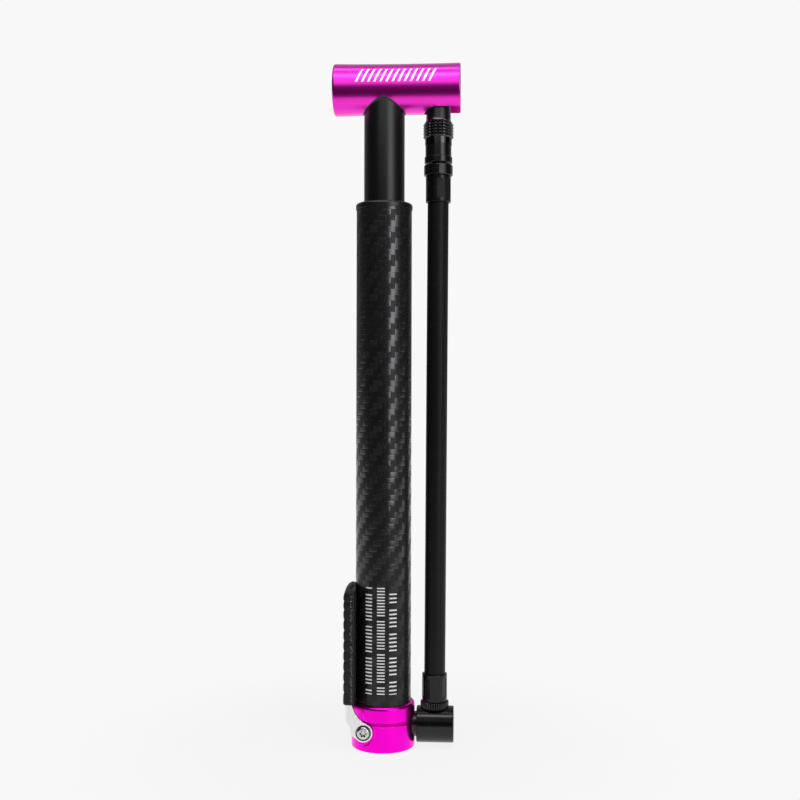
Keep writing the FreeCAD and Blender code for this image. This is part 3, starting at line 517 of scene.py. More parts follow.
@dataclass(frozen=True)
class PrintedCarbon(Finish):
    """Woven carbon tube under clear resin, with plain tick columns printed near its foot."""

    weft_colour: Colour = (0.085, 0.082, 0.088)
    warp_colour: Colour = (0.008, 0.008, 0.009)
    weft_metallic: float = 0.9
    weft_rough: float = 0.23
    warp_metallic: float = 0.2
    tow_shades: tuple[float, float] = (0.75, 1.1)
    fibre_shades: tuple[float, float] = (0.7, 1.3)
    weave_height: float = 0.00003
    foot_shade_low: float = 0.050
    foot_shade_high: float = 0.100
    foot_shade: float = 0.88
    ink: Colour = (0.86, 0.86, 0.85)
    ink_rough: float = 0.55
    columns: tuple[TickColumn, ...] = (
        TickColumn(-27.2, 7.6, 0.0246, 0.0700, 0.00150, 0.40, 9.0),
        TickColumn(-0.9, 8.0, 0.0246, 0.0718, 0.00128, 0.38, 11.0),
        TickColumn(24.4, 8.0, 0.0246, 0.0684, 0.00170, 0.36, 6.0),
    )

    def overlay(self, graph: Graph, place: Source, surface: dict[str, Source]) -> dict[str, Source]:
        """Lay the weave under the resin, dim its weft towards the foot as painted shade, and print
        the ticks over it.
        """
        weave = graph.effect(Twill(), Vector=place)
        x, y, z = graph.axes(place)
        # Painted shade: the weft's brightness is cut towards the foot to hold back the floor's
        # reflection there.
        foot_shade_mask = graph.math("SUBTRACT", 1.0, graph.ramp(z, self.foot_shade_low, self.foot_shade_high))
        weft = graph.math("MULTIPLY", weave.outputs["Weft"],
                          graph.lerp(foot_shade_mask, 1.0, 1.0 - self.foot_shade))
        vary = graph.math("MULTIPLY", graph.lerp(weave.outputs["Tow"], *self.tow_shades),
                          graph.lerp(weave.outputs["Fibre"], *self.fibre_shades))
        weft = graph.math("MULTIPLY", weft, vary)
        colour = graph.tint(weft, rgba(self.warp_colour), rgba(self.weft_colour))
        metallic = graph.lerp(weft, self.warp_metallic, self.weft_metallic)
        rough = graph.lerp(weave.outputs["Weft"], surface["rough"], self.weft_rough)
        height = graph.math("ADD", surface["height"],
                            graph.math("MULTIPLY", weave.outputs["Height"], self.weave_height))
        ink = self.printed(graph, x, y, z)
        return surface | {
            "colour": graph.tint(ink, colour, rgba(self.ink)),
            "metallic": graph.math("MULTIPLY", metallic, graph.math("SUBTRACT", 1.0, ink)),
            "rough": graph.lerp(ink, rough, self.ink_rough),
            "height": height,
        }

    def printed(self, graph: Graph, x: Source, y: Source, z: Source) -> bpy.types.NodeSocket:
        """Return the mask of all the tick columns."""
        turn = graph.math("ARCTAN2", x, graph.math("MULTIPLY", y, -1.0))
        total: Source = 0.0
        for column in self.columns:
            side = graph.band(turn, math.radians(column.turn), math.radians(column.half_turn),
                              0.004)
            middle, half = (column.low + column.high) / 2, (column.high - column.low) / 2
            length = graph.band(z, middle, half, 0.00003)
            beat = graph.math("DIVIDE", z, column.pitch)
            tick = graph.band(graph.math("FRACT", beat), 0.5, column.fill / 2, 0.05)
            count = graph.math("FLOORED_MODULO", graph.math("FLOOR", beat), column.rest_every)
            sounded = graph.math("GREATER_THAN", count, 0.5)
            mask = graph.math("MULTIPLY", graph.math("MULTIPLY", side, length),
                              graph.math("MULTIPLY", tick, sounded))
            total = graph.math("MAXIMUM", mask, total)
        return total


MAGENTA = (0.93, 0.016, 0.61)
# The handle's pale pink edge colour is partly wear, partly a painted highlight along its rims.
HANDLE_FINISH = HatchedAnodised(
    "handle_magenta", MAGENTA, metallic=1.0, roughness=0.3, rough_spread=0.04,
    grain_stretch=(0.06, 1.0, 1.0), grain_scale=3200.0, grain_height=0.0000025, patch_shade=0.03,
    wear=0.18, wear_highlight_colour=(1.0, 0.45, 0.9), wear_highlight_metallic=1.0, dust=0.015,
    coat=0.5, coat_roughness=0.22)
# The base's pale pink edge colour is partly wear, partly a painted highlight along its rims.
BASE_FINISH = BandedAnodised(
    "base_magenta", (0.96, 0.003, 0.64), metallic=1.0, roughness=0.29, rough_spread=0.04,
    grain_stretch=(1.0, 1.0, 0.06), grain_scale=3200.0, grain_height=0.000002, patch_shade=0.03,
    wear=0.25, wear_highlight_colour=(1.0, 0.4, 0.9), wear_highlight_metallic=1.0, dust=0.02)
CARBON_FINISH = PrintedCarbon(
    "woven_carbon", (0.012, 0.012, 0.013), roughness=0.42, rough_spread=0.06, grain_scale=1500.0,
    grain_height=0.000004, wear=0.1, dust=0.03, coat=0.12, coat_roughness=0.25, specular=0.28)
ROD_FINISH = Finish(
    "rod_black", (0.003, 0.003, 0.0033), roughness=0.35, rough_spread=0.04,
    grain_stretch=(1.0, 1.0, 0.04), grain_height=0.000003, wear=0.15,
    wear_highlight_colour=(0.18, 0.18, 0.18), dust=0.01)
CAP_FINISH = Finish(
    "cap_black", (0.008, 0.008, 0.0085), roughness=0.33, rough_spread=0.08, grain_height=0.000006,
    grain_stretch=(1.0, 1.0, 0.1), wear=0.3, wear_highlight_colour=(0.14, 0.14, 0.14), dust=0.04)
ELBOW_FINISH = Finish(
    "elbow_black", (0.004, 0.004, 0.0042), roughness=0.19, rough_spread=0.05, specular=0.38,
    grain_stretch=(0.1, 1.0, 1.0), grain_height=0.000006, wear=0.35, wear_highlight_colour=(0.16, 0.16, 0.16),
    dust=0.05)
GLOSS_FINISH = Finish(
    "gloss_black", (0.004, 0.004, 0.0045), roughness=0.24, rough_spread=0.1, grain_height=0.000006,
    wear=0.4, wear_highlight_colour=(0.2, 0.2, 0.2), wear_highlight_radius=0.00018, dust=0.03, coat=0.1,
    coat_roughness=0.1, specular=0.42)
# The knurl's bright edge colour paints glints on its edges, besides light wear.
KNURL_FINISH = KnurledBlack(
    "knurled_gloss", (0.07, 0.07, 0.073), metallic=1.0, roughness=0.16, rough_spread=0.06,
    grain_height=0.000004, wear=0.6, wear_highlight_colour=(0.35, 0.35, 0.35), wear_highlight_metallic=1.0,
    wear_highlight_radius=0.00012, dust=0.01)
# The collar's full edge mask paints a faint highlight on its ribs, besides wear.
COLLAR_FINISH = Finish(
    "collar_gloss", (0.005, 0.005, 0.0055), roughness=0.3, rough_spread=0.08, grain_height=0.000004,
    wear=1.0, wear_highlight_colour=(0.09, 0.09, 0.09), wear_highlight_radius=0.00018, dust=0.02)
FERRULE_FINISH = Finish(
    "ferrule_black", (0.004, 0.004, 0.0045), roughness=0.28, rough_spread=0.1,
    grain_height=0.00001, wear=0.3, wear_highlight_colour=(0.16, 0.16, 0.16), wear_highlight_radius=0.0002,
    dust=0.04, specular=0.33)
# The lever's hollows, such as the screw's socket, get painted shade.
LEVER_FINISH = Finish(
    "lever_aluminium", (0.86, 0.855, 0.85), metallic=1.0, roughness=0.34, rough_spread=0.08,
    grain_stretch=(1.0, 1.0, 0.15), grain_height=0.000008, patch_shade=0.05, wear=0.15,
    wear_highlight_colour=(0.95, 0.95, 0.95), wear_highlight_metallic=1.0, dust=0.04, hollow_shade=0.9, hollow_shade_depth=0.0009)
# The steel's hollows get painted shade.
STEEL_FINISH = Finish(
    "polished_steel", (0.62, 0.61, 0.60), metallic=1.0, roughness=0.2, rough_spread=0.1,
    grain_height=0.000004, patch_shade=0.1, wear=0.2, wear_highlight_colour=(0.8, 0.8, 0.8),
    wear_highlight_metallic=1.0, dust=0.05, hollow_shade=1.0, hollow_shade_depth=0.0012)
ALUMINIUM_FINISH = Finish(
    "turned_aluminium", (0.72, 0.72, 0.73), metallic=1.0, roughness=0.3, rough_spread=0.1,
    grain_stretch=(1.0, 1.0, 0.1), grain_height=0.000006, wear=0.2, wear_highlight_colour=(0.85, 0.85, 0.85),
    wear_highlight_metallic=1.0)
SPRING_FINISH = Finish(
    "spring_wire", (0.45, 0.44, 0.43), metallic=1.0, roughness=0.3, grain_height=0.000003,
    wear=0.1, dust=0.1)
BRASS_FINISH = Finish(
    "brass", (0.75, 0.52, 0.2), metallic=1.0, roughness=0.28, rough_spread=0.12,
    grain_height=0.000005, wear=0.3, wear_highlight_colour=(0.9, 0.7, 0.35), wear_highlight_metallic=1.0)
SEAL_FINISH = Finish(
    "seal_rubber", (0.012, 0.012, 0.012), roughness=0.6, grain_scale=3500.0, grain_height=0.00002,
    wear=0.1, wear_highlight_colour=(0.05, 0.05, 0.05), dust=0.1, sheen=0.15)
HOSE_FINISH = Finish(
    "hose_rubber", (0.004, 0.004, 0.0045), roughness=0.44, rough_spread=0.06,
    grain_scale=1800.0, grain_stretch=(1.0, 1.0, 0.05), grain_height=0.000006, patch_shade=0.2,
    wear=0.0, dust=0.03, sheen=0.02, specular=0.2)
GRIP_FINISH = Finish(
    "grip_rubber", (0.006, 0.006, 0.0062), roughness=0.46, rough_spread=0.14, grain_scale=1400.0,
    grain_height=0.00005, patch_shade=0.3, wear=0.35, wear_highlight_colour=(0.06, 0.06, 0.06),
    wear_highlight_radius=0.0003, dust=0.04, sheen=0.03, specular=0.3)
# The lip's pale edge colour paints glints on its lumps, besides wear.
LIP_FINISH = Finish(
    "grip_lip_rubber", (0.03, 0.03, 0.03), roughness=0.22, rough_spread=0.1, grain_scale=1400.0,
    grain_height=0.00003, wear=0.8, wear_highlight_colour=(0.45, 0.45, 0.45), wear_highlight_radius=0.00018, dust=0.05)
POLYMER_FINISH = Finish(
    "bearing_polymer", (0.62, 0.6, 0.55), roughness=0.45, grain_height=0.00001, wear=0.1,
    wear_highlight_colour=(0.75, 0.73, 0.7))

SLOT_FINISHES: dict[str, Finish] = {
    "carbon_fibre": CARBON_FINISH,
    "magenta_anodised": HANDLE_FINISH,
    "black_anodised": CAP_FINISH,
    "black_gloss": GLOSS_FINISH,
    "bare_aluminium": ALUMINIUM_FINISH,
    "polished_steel": STEEL_FINISH,
    "spring_steel": SPRING_FINISH,
    "brass": BRASS_FINISH,
    "seal_rubber": SEAL_FINISH,
    "hose_rubber": HOSE_FINISH,
    "grip_rubber": GRIP_FINISH,
    "bearing_polymer": POLYMER_FINISH,
}
NODE_FINISHES: dict[str, Finish] = {
    "base_cup": BASE_FINISH,
    "piston_rod": ROD_FINISH,
    "hose_elbow": ELBOW_FINISH,
    "lower_ferrule": FERRULE_FINISH,
    "upper_ferrule": FERRULE_FINISH,
    "peg_lever": LEVER_FINISH,
}


class Wardrobe:
    """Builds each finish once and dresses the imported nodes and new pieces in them."""

    def __init__(self) -> None:
        """Start with no finish built."""
        self.built: dict[str, bpy.types.Material] = {}

    def material(self, finish: Finish) -> bpy.types.Material:
        """Return the finish's material, building it at the first call."""
        if finish.name not in self.built:
            self.built[finish.name] = finish.build()
        return self.built[finish.name]

    def dress_nodes(self) -> None:
        """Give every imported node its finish, by its own name or by its slot."""
        for name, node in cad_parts.items():
            slot = node.material_slots[0].material.name.split(".")[0]
            finish = NODE_FINISHES.get(name, SLOT_FINISHES[slot])
            for place in node.material_slots:
                place.material = self.material(finish)
            LOG.info("node %s wears %s", name, finish.name)


# --- new pieces -------------------------------------------------------------------------------

SHARP_ANGLE = math.radians(32)


def valley(point: Vector, count: int, half_width: float) -> float:
    """Return how deep a point lies in the nearest of the valleys round the vertical axis.

    Args:
        point: The point, measured from the axis.
        count: How many valleys go round.
        half_width: Half of a valley's width, as a share of the pitch.

    Returns:
        1 on the valley's middle line, falling to 0 at its edges.
    """
    share = math.atan2(point.y, point.x) / (2 * math.pi) * count % 1.0
    return max(0.0, 1.0 - abs(share - 0.5) / half_width)


class Piece:
    """One new mesh, shaped in a bmesh and made into an object in the scene when it is done."""

    def __init__(self, name: str) -> None:
        """Start an empty bmesh for the named piece."""
        self.name = name
        self.bm = bmesh.new()

    def line(self, points: list[tuple[float, float, float]], closed: bool = False) -> list:
        """Draw a chain of vertices and edges, in metres, and return all of its geometry."""
        verts = [self.bm.verts.new(point) for point in points]
        ends = verts[1:] + verts[:1] if closed else verts[1:]
        edges = [self.bm.edges.new(pair) for pair in zip(verts, ends)]
        return verts + edges

    def spin(self, geometry: list, centre: Vector, steps: int) -> None:
        """Turn geometry a full circle round the vertical axis through the centre."""
        bmesh.ops.spin(self.bm, geom=geometry, cent=centre, axis=(0, 0, 1), angle=2 * math.pi,
                       steps=steps, use_merge=True)

    def tidy(self) -> None:
        """Merge doubles, turn the faces outwards and mark the sharp edges."""
        bmesh.ops.remove_doubles(self.bm, verts=self.bm.verts, dist=0.000002)
        bmesh.ops.recalc_face_normals(self.bm, faces=self.bm.faces)
        for face in self.bm.faces:
            face.smooth = True
        for edge in self.bm.edges:
            edge.smooth = edge.calc_face_angle(0.0) < SHARP_ANGLE

    def make(self, material: bpy.types.Material) -> bpy.types.Object:
        """Turn the bmesh into an object in the scene with one material."""
        self.tidy()
        mesh = bpy.data.meshes.new(self.name)
        self.bm.to_mesh(mesh)
        self.bm.free()
        piece = bpy.data.objects.new(self.name, mesh)
        bpy.context.scene.collection.objects.link(piece)
        mesh.materials.append(material)
        LOG.info("piece %s: %d faces", self.name, len(mesh.polygons))
        return piece


@dataclass
class HoseRun:
    """The rubber hose between its two crimped ferrules, in millimetres."""

    foot: Vector
    head: Vector
    radius: float = 4.55
    bore: float = 2.56
    rings: int = 90
    sides: int = 48
    bend_start_z: float = 31.4
    bend_end_z: float = 150.0

    def build(self, wardrobe: Wardrobe) -> None:
        """Make the hose and lean it straight between the barrel and the hose's far end."""
        piece = Piece("hose_tube")
        outer, inner = self.radius * MM, self.bore * MM
        top = (self.head - self.foot).length * MM
        corners = [(outer, 0, 0), (outer, 0, top), (inner, 0, top), (inner, 0, 0)]
        wall = piece.line(corners, closed=True)
        piece.spin(wall, Vector((0, 0, 0)), self.sides)
        piece.tidy()
        tall = [edge for edge in piece.bm.edges if edge.calc_length() > top / 2]
        bmesh.ops.subdivide_edges(piece.bm, edges=tall, cuts=self.rings)
        lean = Vector((0, 0, 1)).rotation_difference(self.head - self.foot)
        move = Matrix.Translation(self.foot * MM) @ lean.to_matrix().to_4x4()
        bmesh.ops.transform(piece.bm, matrix=move, verts=piece.bm.verts)
        hose = piece.make(wardrobe.material(HOSE_FINISH))
        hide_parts("hose")
        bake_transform(hose)


@dataclass
class PegGrip:
    """The ribbed rubber pad on the foot peg and its rough moulded lips, in millimetres."""

    low: Vector
    high: Vector
    corner: float = 0.9
    barrel_clear: float = 12.4
    top_round: float = 3.0
    top_arch: float = 2.3
    arch_from_z: float = 60.0
    foot_round: float = 0.8
    end_steps: int = 4
    pitch: float = 4.4
    groove_share: float = 0.34
    groove_depth: float = 0.34
    side_inset: float = 0.4
    side_groove: float = 0.2
    lip_radius: float = 0.72
    lip_rings: int = 110
    lip_back: float = 1.5
    lip_proud: float = 0.36
    lip_foot: float = 1.2
    lip_short: float = 2.6
    lip_jog: tuple[float, float] = (0.35, 0.16)
    lip_sizes: tuple[float, float] = (0.45, 1.1)

    def build(self, wardrobe: Wardrobe) -> None:
        """Make the pad and both lips and put them on the peg's body."""
        pad = self.pad(wardrobe)
        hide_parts("peg_grip")
        for side, tag in ((-1, "front"), (1, "back")):
            lip = self.lip(side, tag, wardrobe)
            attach(lip, Body.FOOT_PEG.value)
        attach(pad, Body.FOOT_PEG.value)

    def section(self, inset: float, groove: float) -> list[tuple[float, float]]:
        """Return half of the pad's plan, from the middle of its back to its inner middle.

        Args:
            inset: How far the whole outline is drawn in.
            groove: How far the back face alone is drawn in.

        Returns:
            The (x, y) corners on the +Y side.
        """
        back = self.low.x + inset + groove
        side = self.high.y - inset * self.side_inset - groove * self.side_groove
        front = self.high.x
        reach = math.sqrt(self.barrel_clear ** 2 - front ** 2)
        c = self.corner
        return [(back, 0.0), (back, side * 0.45), (back, side - c),
                (back + c * 0.3, side - c * 0.3), (back + c, side), (back + c * 2.2, side),
                (front - 0.5, side), (front, side - 0.4), (front, (reach + side) / 2),
                (front, reach + 0.4), (-self.barrel_clear + 0.3, reach * 0.5),
                (-self.barrel_clear, 0.0)]

    def levels(self) -> list[tuple[float, float, float]]:
        """Return (z, inset, groove) for every ring of the pad, from its foot to its top."""
        foot, top = [], []
        for i in range(self.end_steps + 1):
            turn = math.pi / 2 * i / self.end_steps
            rise, inset = 1 - math.cos(turn), 1 - math.sin(turn)
            foot.append((self.low.z + rise * self.foot_round, inset * self.foot_round, 0.0))
            top.append((self.high.z - rise * self.top_round, inset * self.top_round, 0.0))
        top.reverse()
        length = self.high.z - self.low.z
        count = int((length - self.foot_round - self.top_round - self.pitch / 2) / self.pitch)
        first = (self.low.z + self.high.z) / 2 - self.pitch * (count - 1) / 2
        half = self.pitch * self.groove_share / 2
        ribs = []
        for i in range(count):
            z = first + i * self.pitch
            ribs += [(z - half, 0.0, 0.0), (z - half * 0.45, 0.0, self.groove_depth),
                     (z + half * 0.45, 0.0, self.groove_depth), (z + half, 0.0, 0.0)]
        return foot + ribs + top

    def pad(self, wardrobe: Wardrobe) -> bpy.types.Object:
        """Loft the pad's rings, close its ends and smooth it."""
        piece = Piece("peg_grip_pad")
        loops = []
        for z, inset, groove in self.levels():
            half = self.section(inset, groove)
            outline = half + [(x, -y) for x, y in reversed(half[1:-1])]
            ring = piece.line([(x * MM, y * MM, z * MM) for x, y in outline], closed=True)
            loops.append([g for g in ring if isinstance(g, bmesh.types.BMEdge)])
        for lower, upper in zip(loops, loops[1:]):
            bmesh.ops.bridge_loops(piece.bm, edges=lower + upper)
        bmesh.ops.holes_fill(piece.bm, edges=loops[0] + loops[-1])
        for vert in piece.bm.verts:
            share = max(0.0, vert.co.z / MM - self.arch_from_z) / (self.high.z - self.arch_from_z)
            drop = self.top_arch * share * (abs(vert.co.y) / (self.high.y * MM)) ** 2
            vert.co.z -= drop * MM
        pad = piece.make(wardrobe.material(GRIP_FINISH))
        smooth = pad.modifiers.new("smooth", "SUBSURF")
        smooth.levels = smooth.render_levels = 2
        return pad

    def lip(self, side: int, tag: str, wardrobe: Wardrobe) -> bpy.types.Object:
        """Make the knobbly bead along one inner edge of the pad."""
        piece = Piece("peg_grip_lip_" + tag)
        dice = random.Random(7 + side)
        centre_x = self.high.x - self.lip_back
        centre_y = side * (self.high.y - self.lip_radius + self.lip_proud)
        span = self.high.z - self.top_arch - self.low.z - self.lip_short
        foot = Vector((centre_x, centre_y, self.low.z + self.lip_foot)) * MM
        ring = bmesh.ops.create_circle(piece.bm, cap_ends=True, segments=10,
                                       radius=self.lip_radius * MM)
        bmesh.ops.translate(piece.bm, verts=ring["verts"], vec=foot)
        face = next(iter(piece.bm.faces))
        step = Vector((0, 0, span / self.lip_rings * MM))
        jog_x, jog_y = self.lip_jog
        for i in range(1, self.lip_rings + 1):
            face = bmesh.ops.extrude_discrete_faces(piece.bm, faces=[face])["faces"][0]
            jog = Vector((dice.uniform(-jog_x, jog_x), dice.uniform(-jog_y, jog_y), 0)) * MM
            size = self.lip_radius * MM * dice.uniform(*self.lip_sizes)
            middle, centre = foot + step * i, face.calc_center_median()
            for vert in face.verts:
                arm = vert.co - centre
                vert.co = middle + jog + arm.normalized() * size
        open_edges = [edge for edge in piece.bm.edges if edge.is_boundary]
        bmesh.ops.holes_fill(piece.bm, edges=open_edges)
        return piece.make(wardrobe.material(LIP_FINISH))


@dataclass
class ChuckHead:
    """The chuck's turned head with its cut knurl, in millimetres."""

    centre_x: float = 23.45
    skirt: tuple[tuple[float, float], ...] = ((4.3, 262.0), (4.9, 262.0), (4.9, 261.0),
                                              (5.62, 261.0), (5.62, 260.2), (5.78, 260.1))
    mouth: tuple[tuple[float, float], ...] = ((5.38, 270.7), (5.3, 271.4), (5.2, 280.6),
                                              (4.75, 281.0), (3.95, 281.0), (3.85, 280.9),
                                              (3.85, 271.0), (4.3, 271.0))
    grip_r: float = 6.52
    grip_low: float = 262.9
    grip_high: float = 269.2
    rows: int = 5
    ring_depth: float = 0.75
    ring_shares: tuple[float, float, float, float] = (0.34, 0.42, 0.62, 0.7)
    edge_round: float = 0.08
    taper_lead: float = 0.4
    flutes: int = 22
    steps_per_flute: int = 10
    flute_depth: float = 0.5
    flute_half_width: float = 0.2

    def build(self, wardrobe: Wardrobe) -> None:
        """Turn the head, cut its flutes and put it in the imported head's place."""
        piece = Piece("chuck_head_knurled")
        outline = list(self.skirt) + self.grip() + list(self.mouth)
        chain = piece.line([(r * MM, 0, z * MM) for r, z in outline], closed=True)
        piece.spin(chain, Vector((0, 0, 0)), self.flutes * self.steps_per_flute)
        self.flute(piece)
        bmesh.ops.translate(piece.bm, verts=piece.bm.verts, vec=(self.centre_x * MM, 0, 0))
        head = piece.make(wardrobe.material(KNURL_FINISH))
        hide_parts("chuck_head")
        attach(head, Body.CHUCK.value)

    def grip(self) -> list[tuple[float, float]]:
        """Return the outline of the ringed grip, from its foot to its top."""
        pitch = (self.grip_high - self.grip_low) / self.rows
        root, shoulder = self.grip_r - self.ring_depth, self.grip_r - self.edge_round
        rim = (shoulder, self.grip_r, self.grip_r, shoulder)
        outline = []
        for i in range(self.rows):
            z = self.grip_low + pitch * i
            outline.append((root, z))
            outline += [(r, z + pitch * share) for r, share in zip(rim, self.ring_shares)]
        outline.append((root, self.grip_high))
        rise = (self.mouth[0][1] - self.grip_high) / 3
        run = (self.grip_r - self.mouth[0][0]) / 3
        outline += [(self.grip_r - run * i - self.edge_round,
                     self.grip_high + rise * (i - self.taper_lead)) for i in (1, 2)]
        return outline

    def flute(self, piece: Piece) -> None:
        """Press the flutes in where the head is wide, so they run out to points."""
        root = self.grip_r - self.flute_depth
        for vert in piece.bm.verts:
            radius = math.hypot(vert.co.x, vert.co.y) / MM
            if radius <= root or vert.co.z < self.skirt[3][1] * MM:
                continue
            depth = (radius - root) * valley(vert.co, self.flutes, self.flute_half_width)
            vert.co.xy *= 1 - depth / radius


@dataclass
class RibbedCollar:
    """The ribbed collar under the hose's lower ferrule, in millimetres."""

    centre_x: float = 22.3
    outline: tuple[tuple[float, float], ...] = ((2.6, 16.1), (5.0, 16.1), (5.75, 16.7),
                                                (6.1, 17.6), (6.1, 19.3), (5.8, 19.6),
                                                (2.6, 19.6))
    ribs: int = 36
    steps_per_rib: int = 8
    rib_depth: float = 0.5
    rib_half_width: float = 0.34
    rib_from_r: float = 4.0

    def build(self, wardrobe: Wardrobe) -> None:
        """Turn the collar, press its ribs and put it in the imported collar's place."""
        piece = Piece("knurled_collar_ribbed")
        chain = piece.line([(r * MM, 0, z * MM) for r, z in self.outline], closed=True)
        piece.spin(chain, Vector((0, 0, 0)), self.ribs * self.steps_per_rib)
        for vert in piece.bm.verts:
            radius = math.hypot(vert.co.x, vert.co.y) / MM
            if radius > self.rib_from_r:
                depth = self.rib_depth * valley(vert.co, self.ribs, self.rib_half_width)
                vert.co.xy *= 1 - depth / radius
        bmesh.ops.translate(piece.bm, verts=piece.bm.verts, vec=(self.centre_x * MM, 0, 0))
        collar = piece.make(wardrobe.material(COLLAR_FINISH))
        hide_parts("knurled_collar")
        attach(collar, Body.BARREL.value)


# --- stage, light and camera --------------------------------------------------------------------


@dataclass
class Softbox:
    """A rectangular studio light, hidden from the camera but seen in reflections."""

    name: str
    place: Vector
    aim: Vector
    width: float
    height: float
    brightness: float
    colour: Colour = (1.0, 1.0, 1.0)

    def build(self) -> None:
        """Add the light, with its power worked out from how bright its face is."""
        light = bpy.data.lights.new(self.name, "AREA")
        light.shape = "RECTANGLE"
        light.size, light.size_y = self.width, self.height
        light.energy = self.brightness * math.pi * self.width * self.height
        light.color = self.colour
        lamp = bpy.data.objects.new(self.name, light)
        lamp.location = self.place
        lamp.rotation_euler = (self.aim - self.place).to_track_quat("-Z", "Y").to_euler()
        lamp.visible_camera = False
        bpy.context.scene.collection.objects.link(lamp)
        LOG.info("light %s: %.2f W", self.name, light.energy)


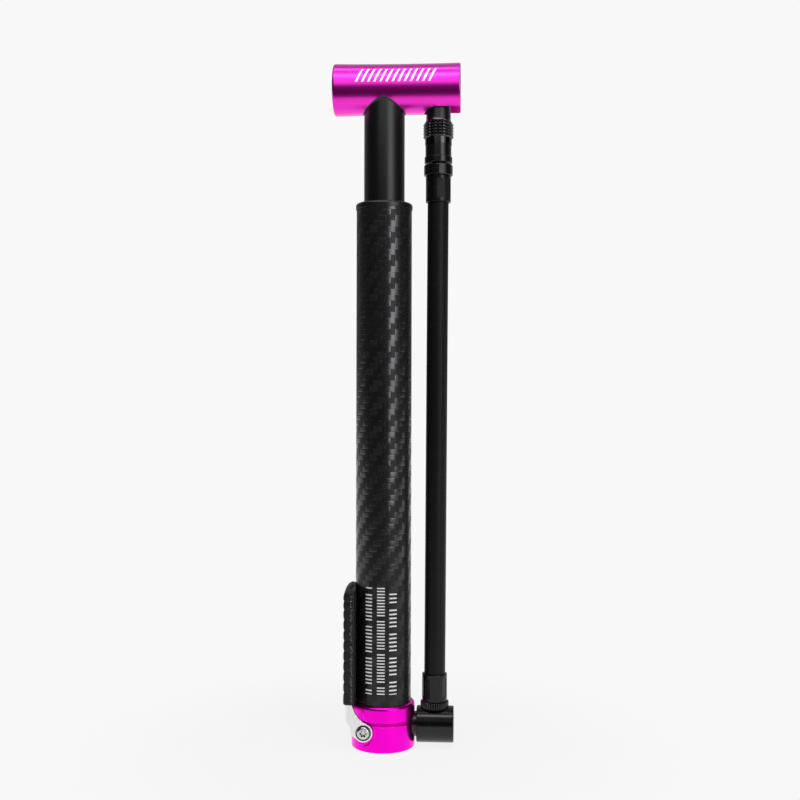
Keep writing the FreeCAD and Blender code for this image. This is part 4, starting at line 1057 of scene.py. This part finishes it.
@dataclass
class Studio:
    """The pale floor, the surroundings, the lights and the camera, in metres and degrees."""

    pale: float = 0.94
    floor_radius: float = 6.0
    floor_drop: float = 0.0001
    glow_inner: float = 0.20
    glow_outer: float = 0.34
    glow: float = 1.0
    glow_front: float = 0.03
    shade_inner: float = 0.05
    shade_radius: float = 0.16
    shade_drop: float = 0.1
    shade_grey: float = 0.12
    dark_front: float = 0.015
    light_back: float = 0.15
    light_back_high: float = 0.5
    back_rise: tuple[float, float] = (0.1, 0.35)
    back_depth: tuple[float, float] = (0.1, 0.7)
    camera_right: tuple[float, float] = (0.99824, 0.0593)
    camera_shift: float = 0.007
    camera_distance: float = 0.480
    camera_height: float = 0.1497
    camera_lean: float = 0.13
    camera_lens: float = 49.68

    def build(self) -> None:
        """Make the stage, the lights and the camera."""
        self.world()
        self.floor()
        for light in self.lights():
            light.build()
        self.camera()

    def lights(self) -> list[Softbox]:
        """Return the overhead lights and the tall soft boxes on the right."""
        across, cool = 0.9, (0.96, 0.97, 1.0)
        fill = Softbox("overhead_fill", Vector((0.02, -0.41, 0.69)), Vector((0.02, -0.24, 0.115)),
                       across, 1.17, 0.3, cool)
        panel = Softbox("handle_panel", Vector((0.015, -0.26, 0.51)), Vector((0.015, 0.707, 0.764)),
                        0.26, 0.393, 0.9, cool)
        front = Softbox("overhead_front", Vector((0.02, -0.32, 0.72)), Vector((0.02, 0.0, 0.2)),
                        across, 0.13, 4.6, cool)
        top = Softbox("overhead_top", Vector((0.02, -0.02, 0.72)), Vector((0.02, 0.0, 0.0)),
                      across, 0.07, 3.0, cool)
        target = Vector((0.0, 0.0, 0.2))
        wide = Softbox("right_wide", Vector((0.64, -0.66, 0.33)), target, 0.66, 0.62, 0.85)
        core = Softbox("right_core", Vector((0.56, -0.67, 0.33)), target, 0.34, 0.62, 2.2)
        return [fill, panel, front, top, wide, core]

    def world(self) -> None:
        """Show a pale backdrop, while reflections see a dark room with a light back wall."""
        world = bpy.data.worlds.new("studio")
        bpy.context.scene.world = world
        world.use_nodes = True
        world.node_tree.nodes.clear()
        graph = Graph(world.node_tree)
        seen = graph.call("LightPath", {}, "Is Camera Ray")
        direction = graph.call("TexCoord", {}, "Object")
        depth, rise = graph.axes(direction)[1:]
        high = graph.ramp(rise, *self.back_rise)
        back = graph.lerp(high, self.light_back, self.light_back_high)
        wall = graph.lerp(graph.ramp(depth, *self.back_depth), self.dark_front, back)
        level = graph.lerp(seen, wall, self.pale)
        background = graph.call("Background", {"Color": rgba((1, 1, 1)), "Strength": level})
        output = graph.add("OutputWorld")
        graph.feed(output.inputs["Surface"], background)

    def floor(self) -> None:
        """Lay the round floor: pale to the eye, bright near the pump in reflections."""
        material = bpy.data.materials.new("pale_floor")
        material.use_nodes = True
        material.node_tree.nodes.clear()
        graph = Graph(material.node_tree)
        place = graph.place()
        reach = graph.call("VectorMath", {0: place}, "Value", operation="LENGTH")
        forward = graph.math("MULTIPLY", graph.axes(place)[1], -1.0)
        glow = graph.lerp(graph.ramp(forward, self.glow_inner, self.glow_outer), self.glow,
                          self.glow_front)
        bounce = graph.call("Emission", {"Strength": glow})
        far = graph.ramp(reach, self.shade_inner, self.shade_radius)
        steady = graph.call("Emission", {"Strength": self.pale})
        grey = rgba((self.shade_grey, self.shade_grey, self.shade_grey))
        near = graph.call("Emission", {"Strength": self.pale - self.shade_drop})
        lit = graph.call("AddShader", {0: near, 1: graph.call("BsdfDiffuse", {"Color": grey})})
        shown = graph.call("MixShader", {0: far, 1: lit, 2: steady})
        seen = graph.call("LightPath", {}, "Is Camera Ray")
        output = graph.add("OutputMaterial")
        surface = graph.call("MixShader", {0: seen, 1: bounce, 2: shown})
        graph.feed(output.inputs["Surface"], surface)
        piece = Piece("floor")
        bmesh.ops.create_circle(piece.bm, cap_ends=True, segments=96, radius=self.floor_radius)
        bmesh.ops.translate(piece.bm, verts=piece.bm.verts, vec=(0, 0, -self.floor_drop))
        piece.make(material)

    def camera(self) -> None:
        """Place the camera level, a little to the right of the front, and lean it slightly."""
        x, y = self.camera_right
        right, forward = Vector((x, y, 0.0)), Vector((-y, x, 0.0))
        eye = (right * self.camera_shift - forward * self.camera_distance
               + Vector((0, 0, self.camera_height)))
        turn = Matrix((right, Vector((0, 0, 1)), -forward)).transposed().to_4x4()
        lean = Matrix.Rotation(math.radians(self.camera_lean), 4, "Z")
        lens = bpy.data.cameras.new("camera")
        lens.lens = self.camera_lens
        lens.clip_start = 0.01
        camera = bpy.data.objects.new("camera", lens)
        camera.matrix_world = Matrix.Translation(eye) @ turn @ lean
        bpy.context.scene.collection.objects.link(camera)
        bpy.context.scene.camera = camera


def main() -> None:
    """Build the stage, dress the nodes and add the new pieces."""
    logging.basicConfig(level=logging.INFO, format="%(name)s: %(message)s")
    bpy.context.scene.view_settings.view_transform = "Standard"
    Studio().build()
    wardrobe = Wardrobe()
    wardrobe.dress_nodes()
    HoseRun(foot=Vector((22.3, 0.0, 19.95)), head=Vector((23.45, 0.0, 246.4))).build(wardrobe)
    PegGrip(low=Vector((-16.25, -13.65, 20.3)), high=Vector((-11.2, 13.65, 70.5))).build(wardrobe)
    ChuckHead().build(wardrobe)
    RibbedCollar().build(wardrobe)


if __name__ == "__main__":
    main()
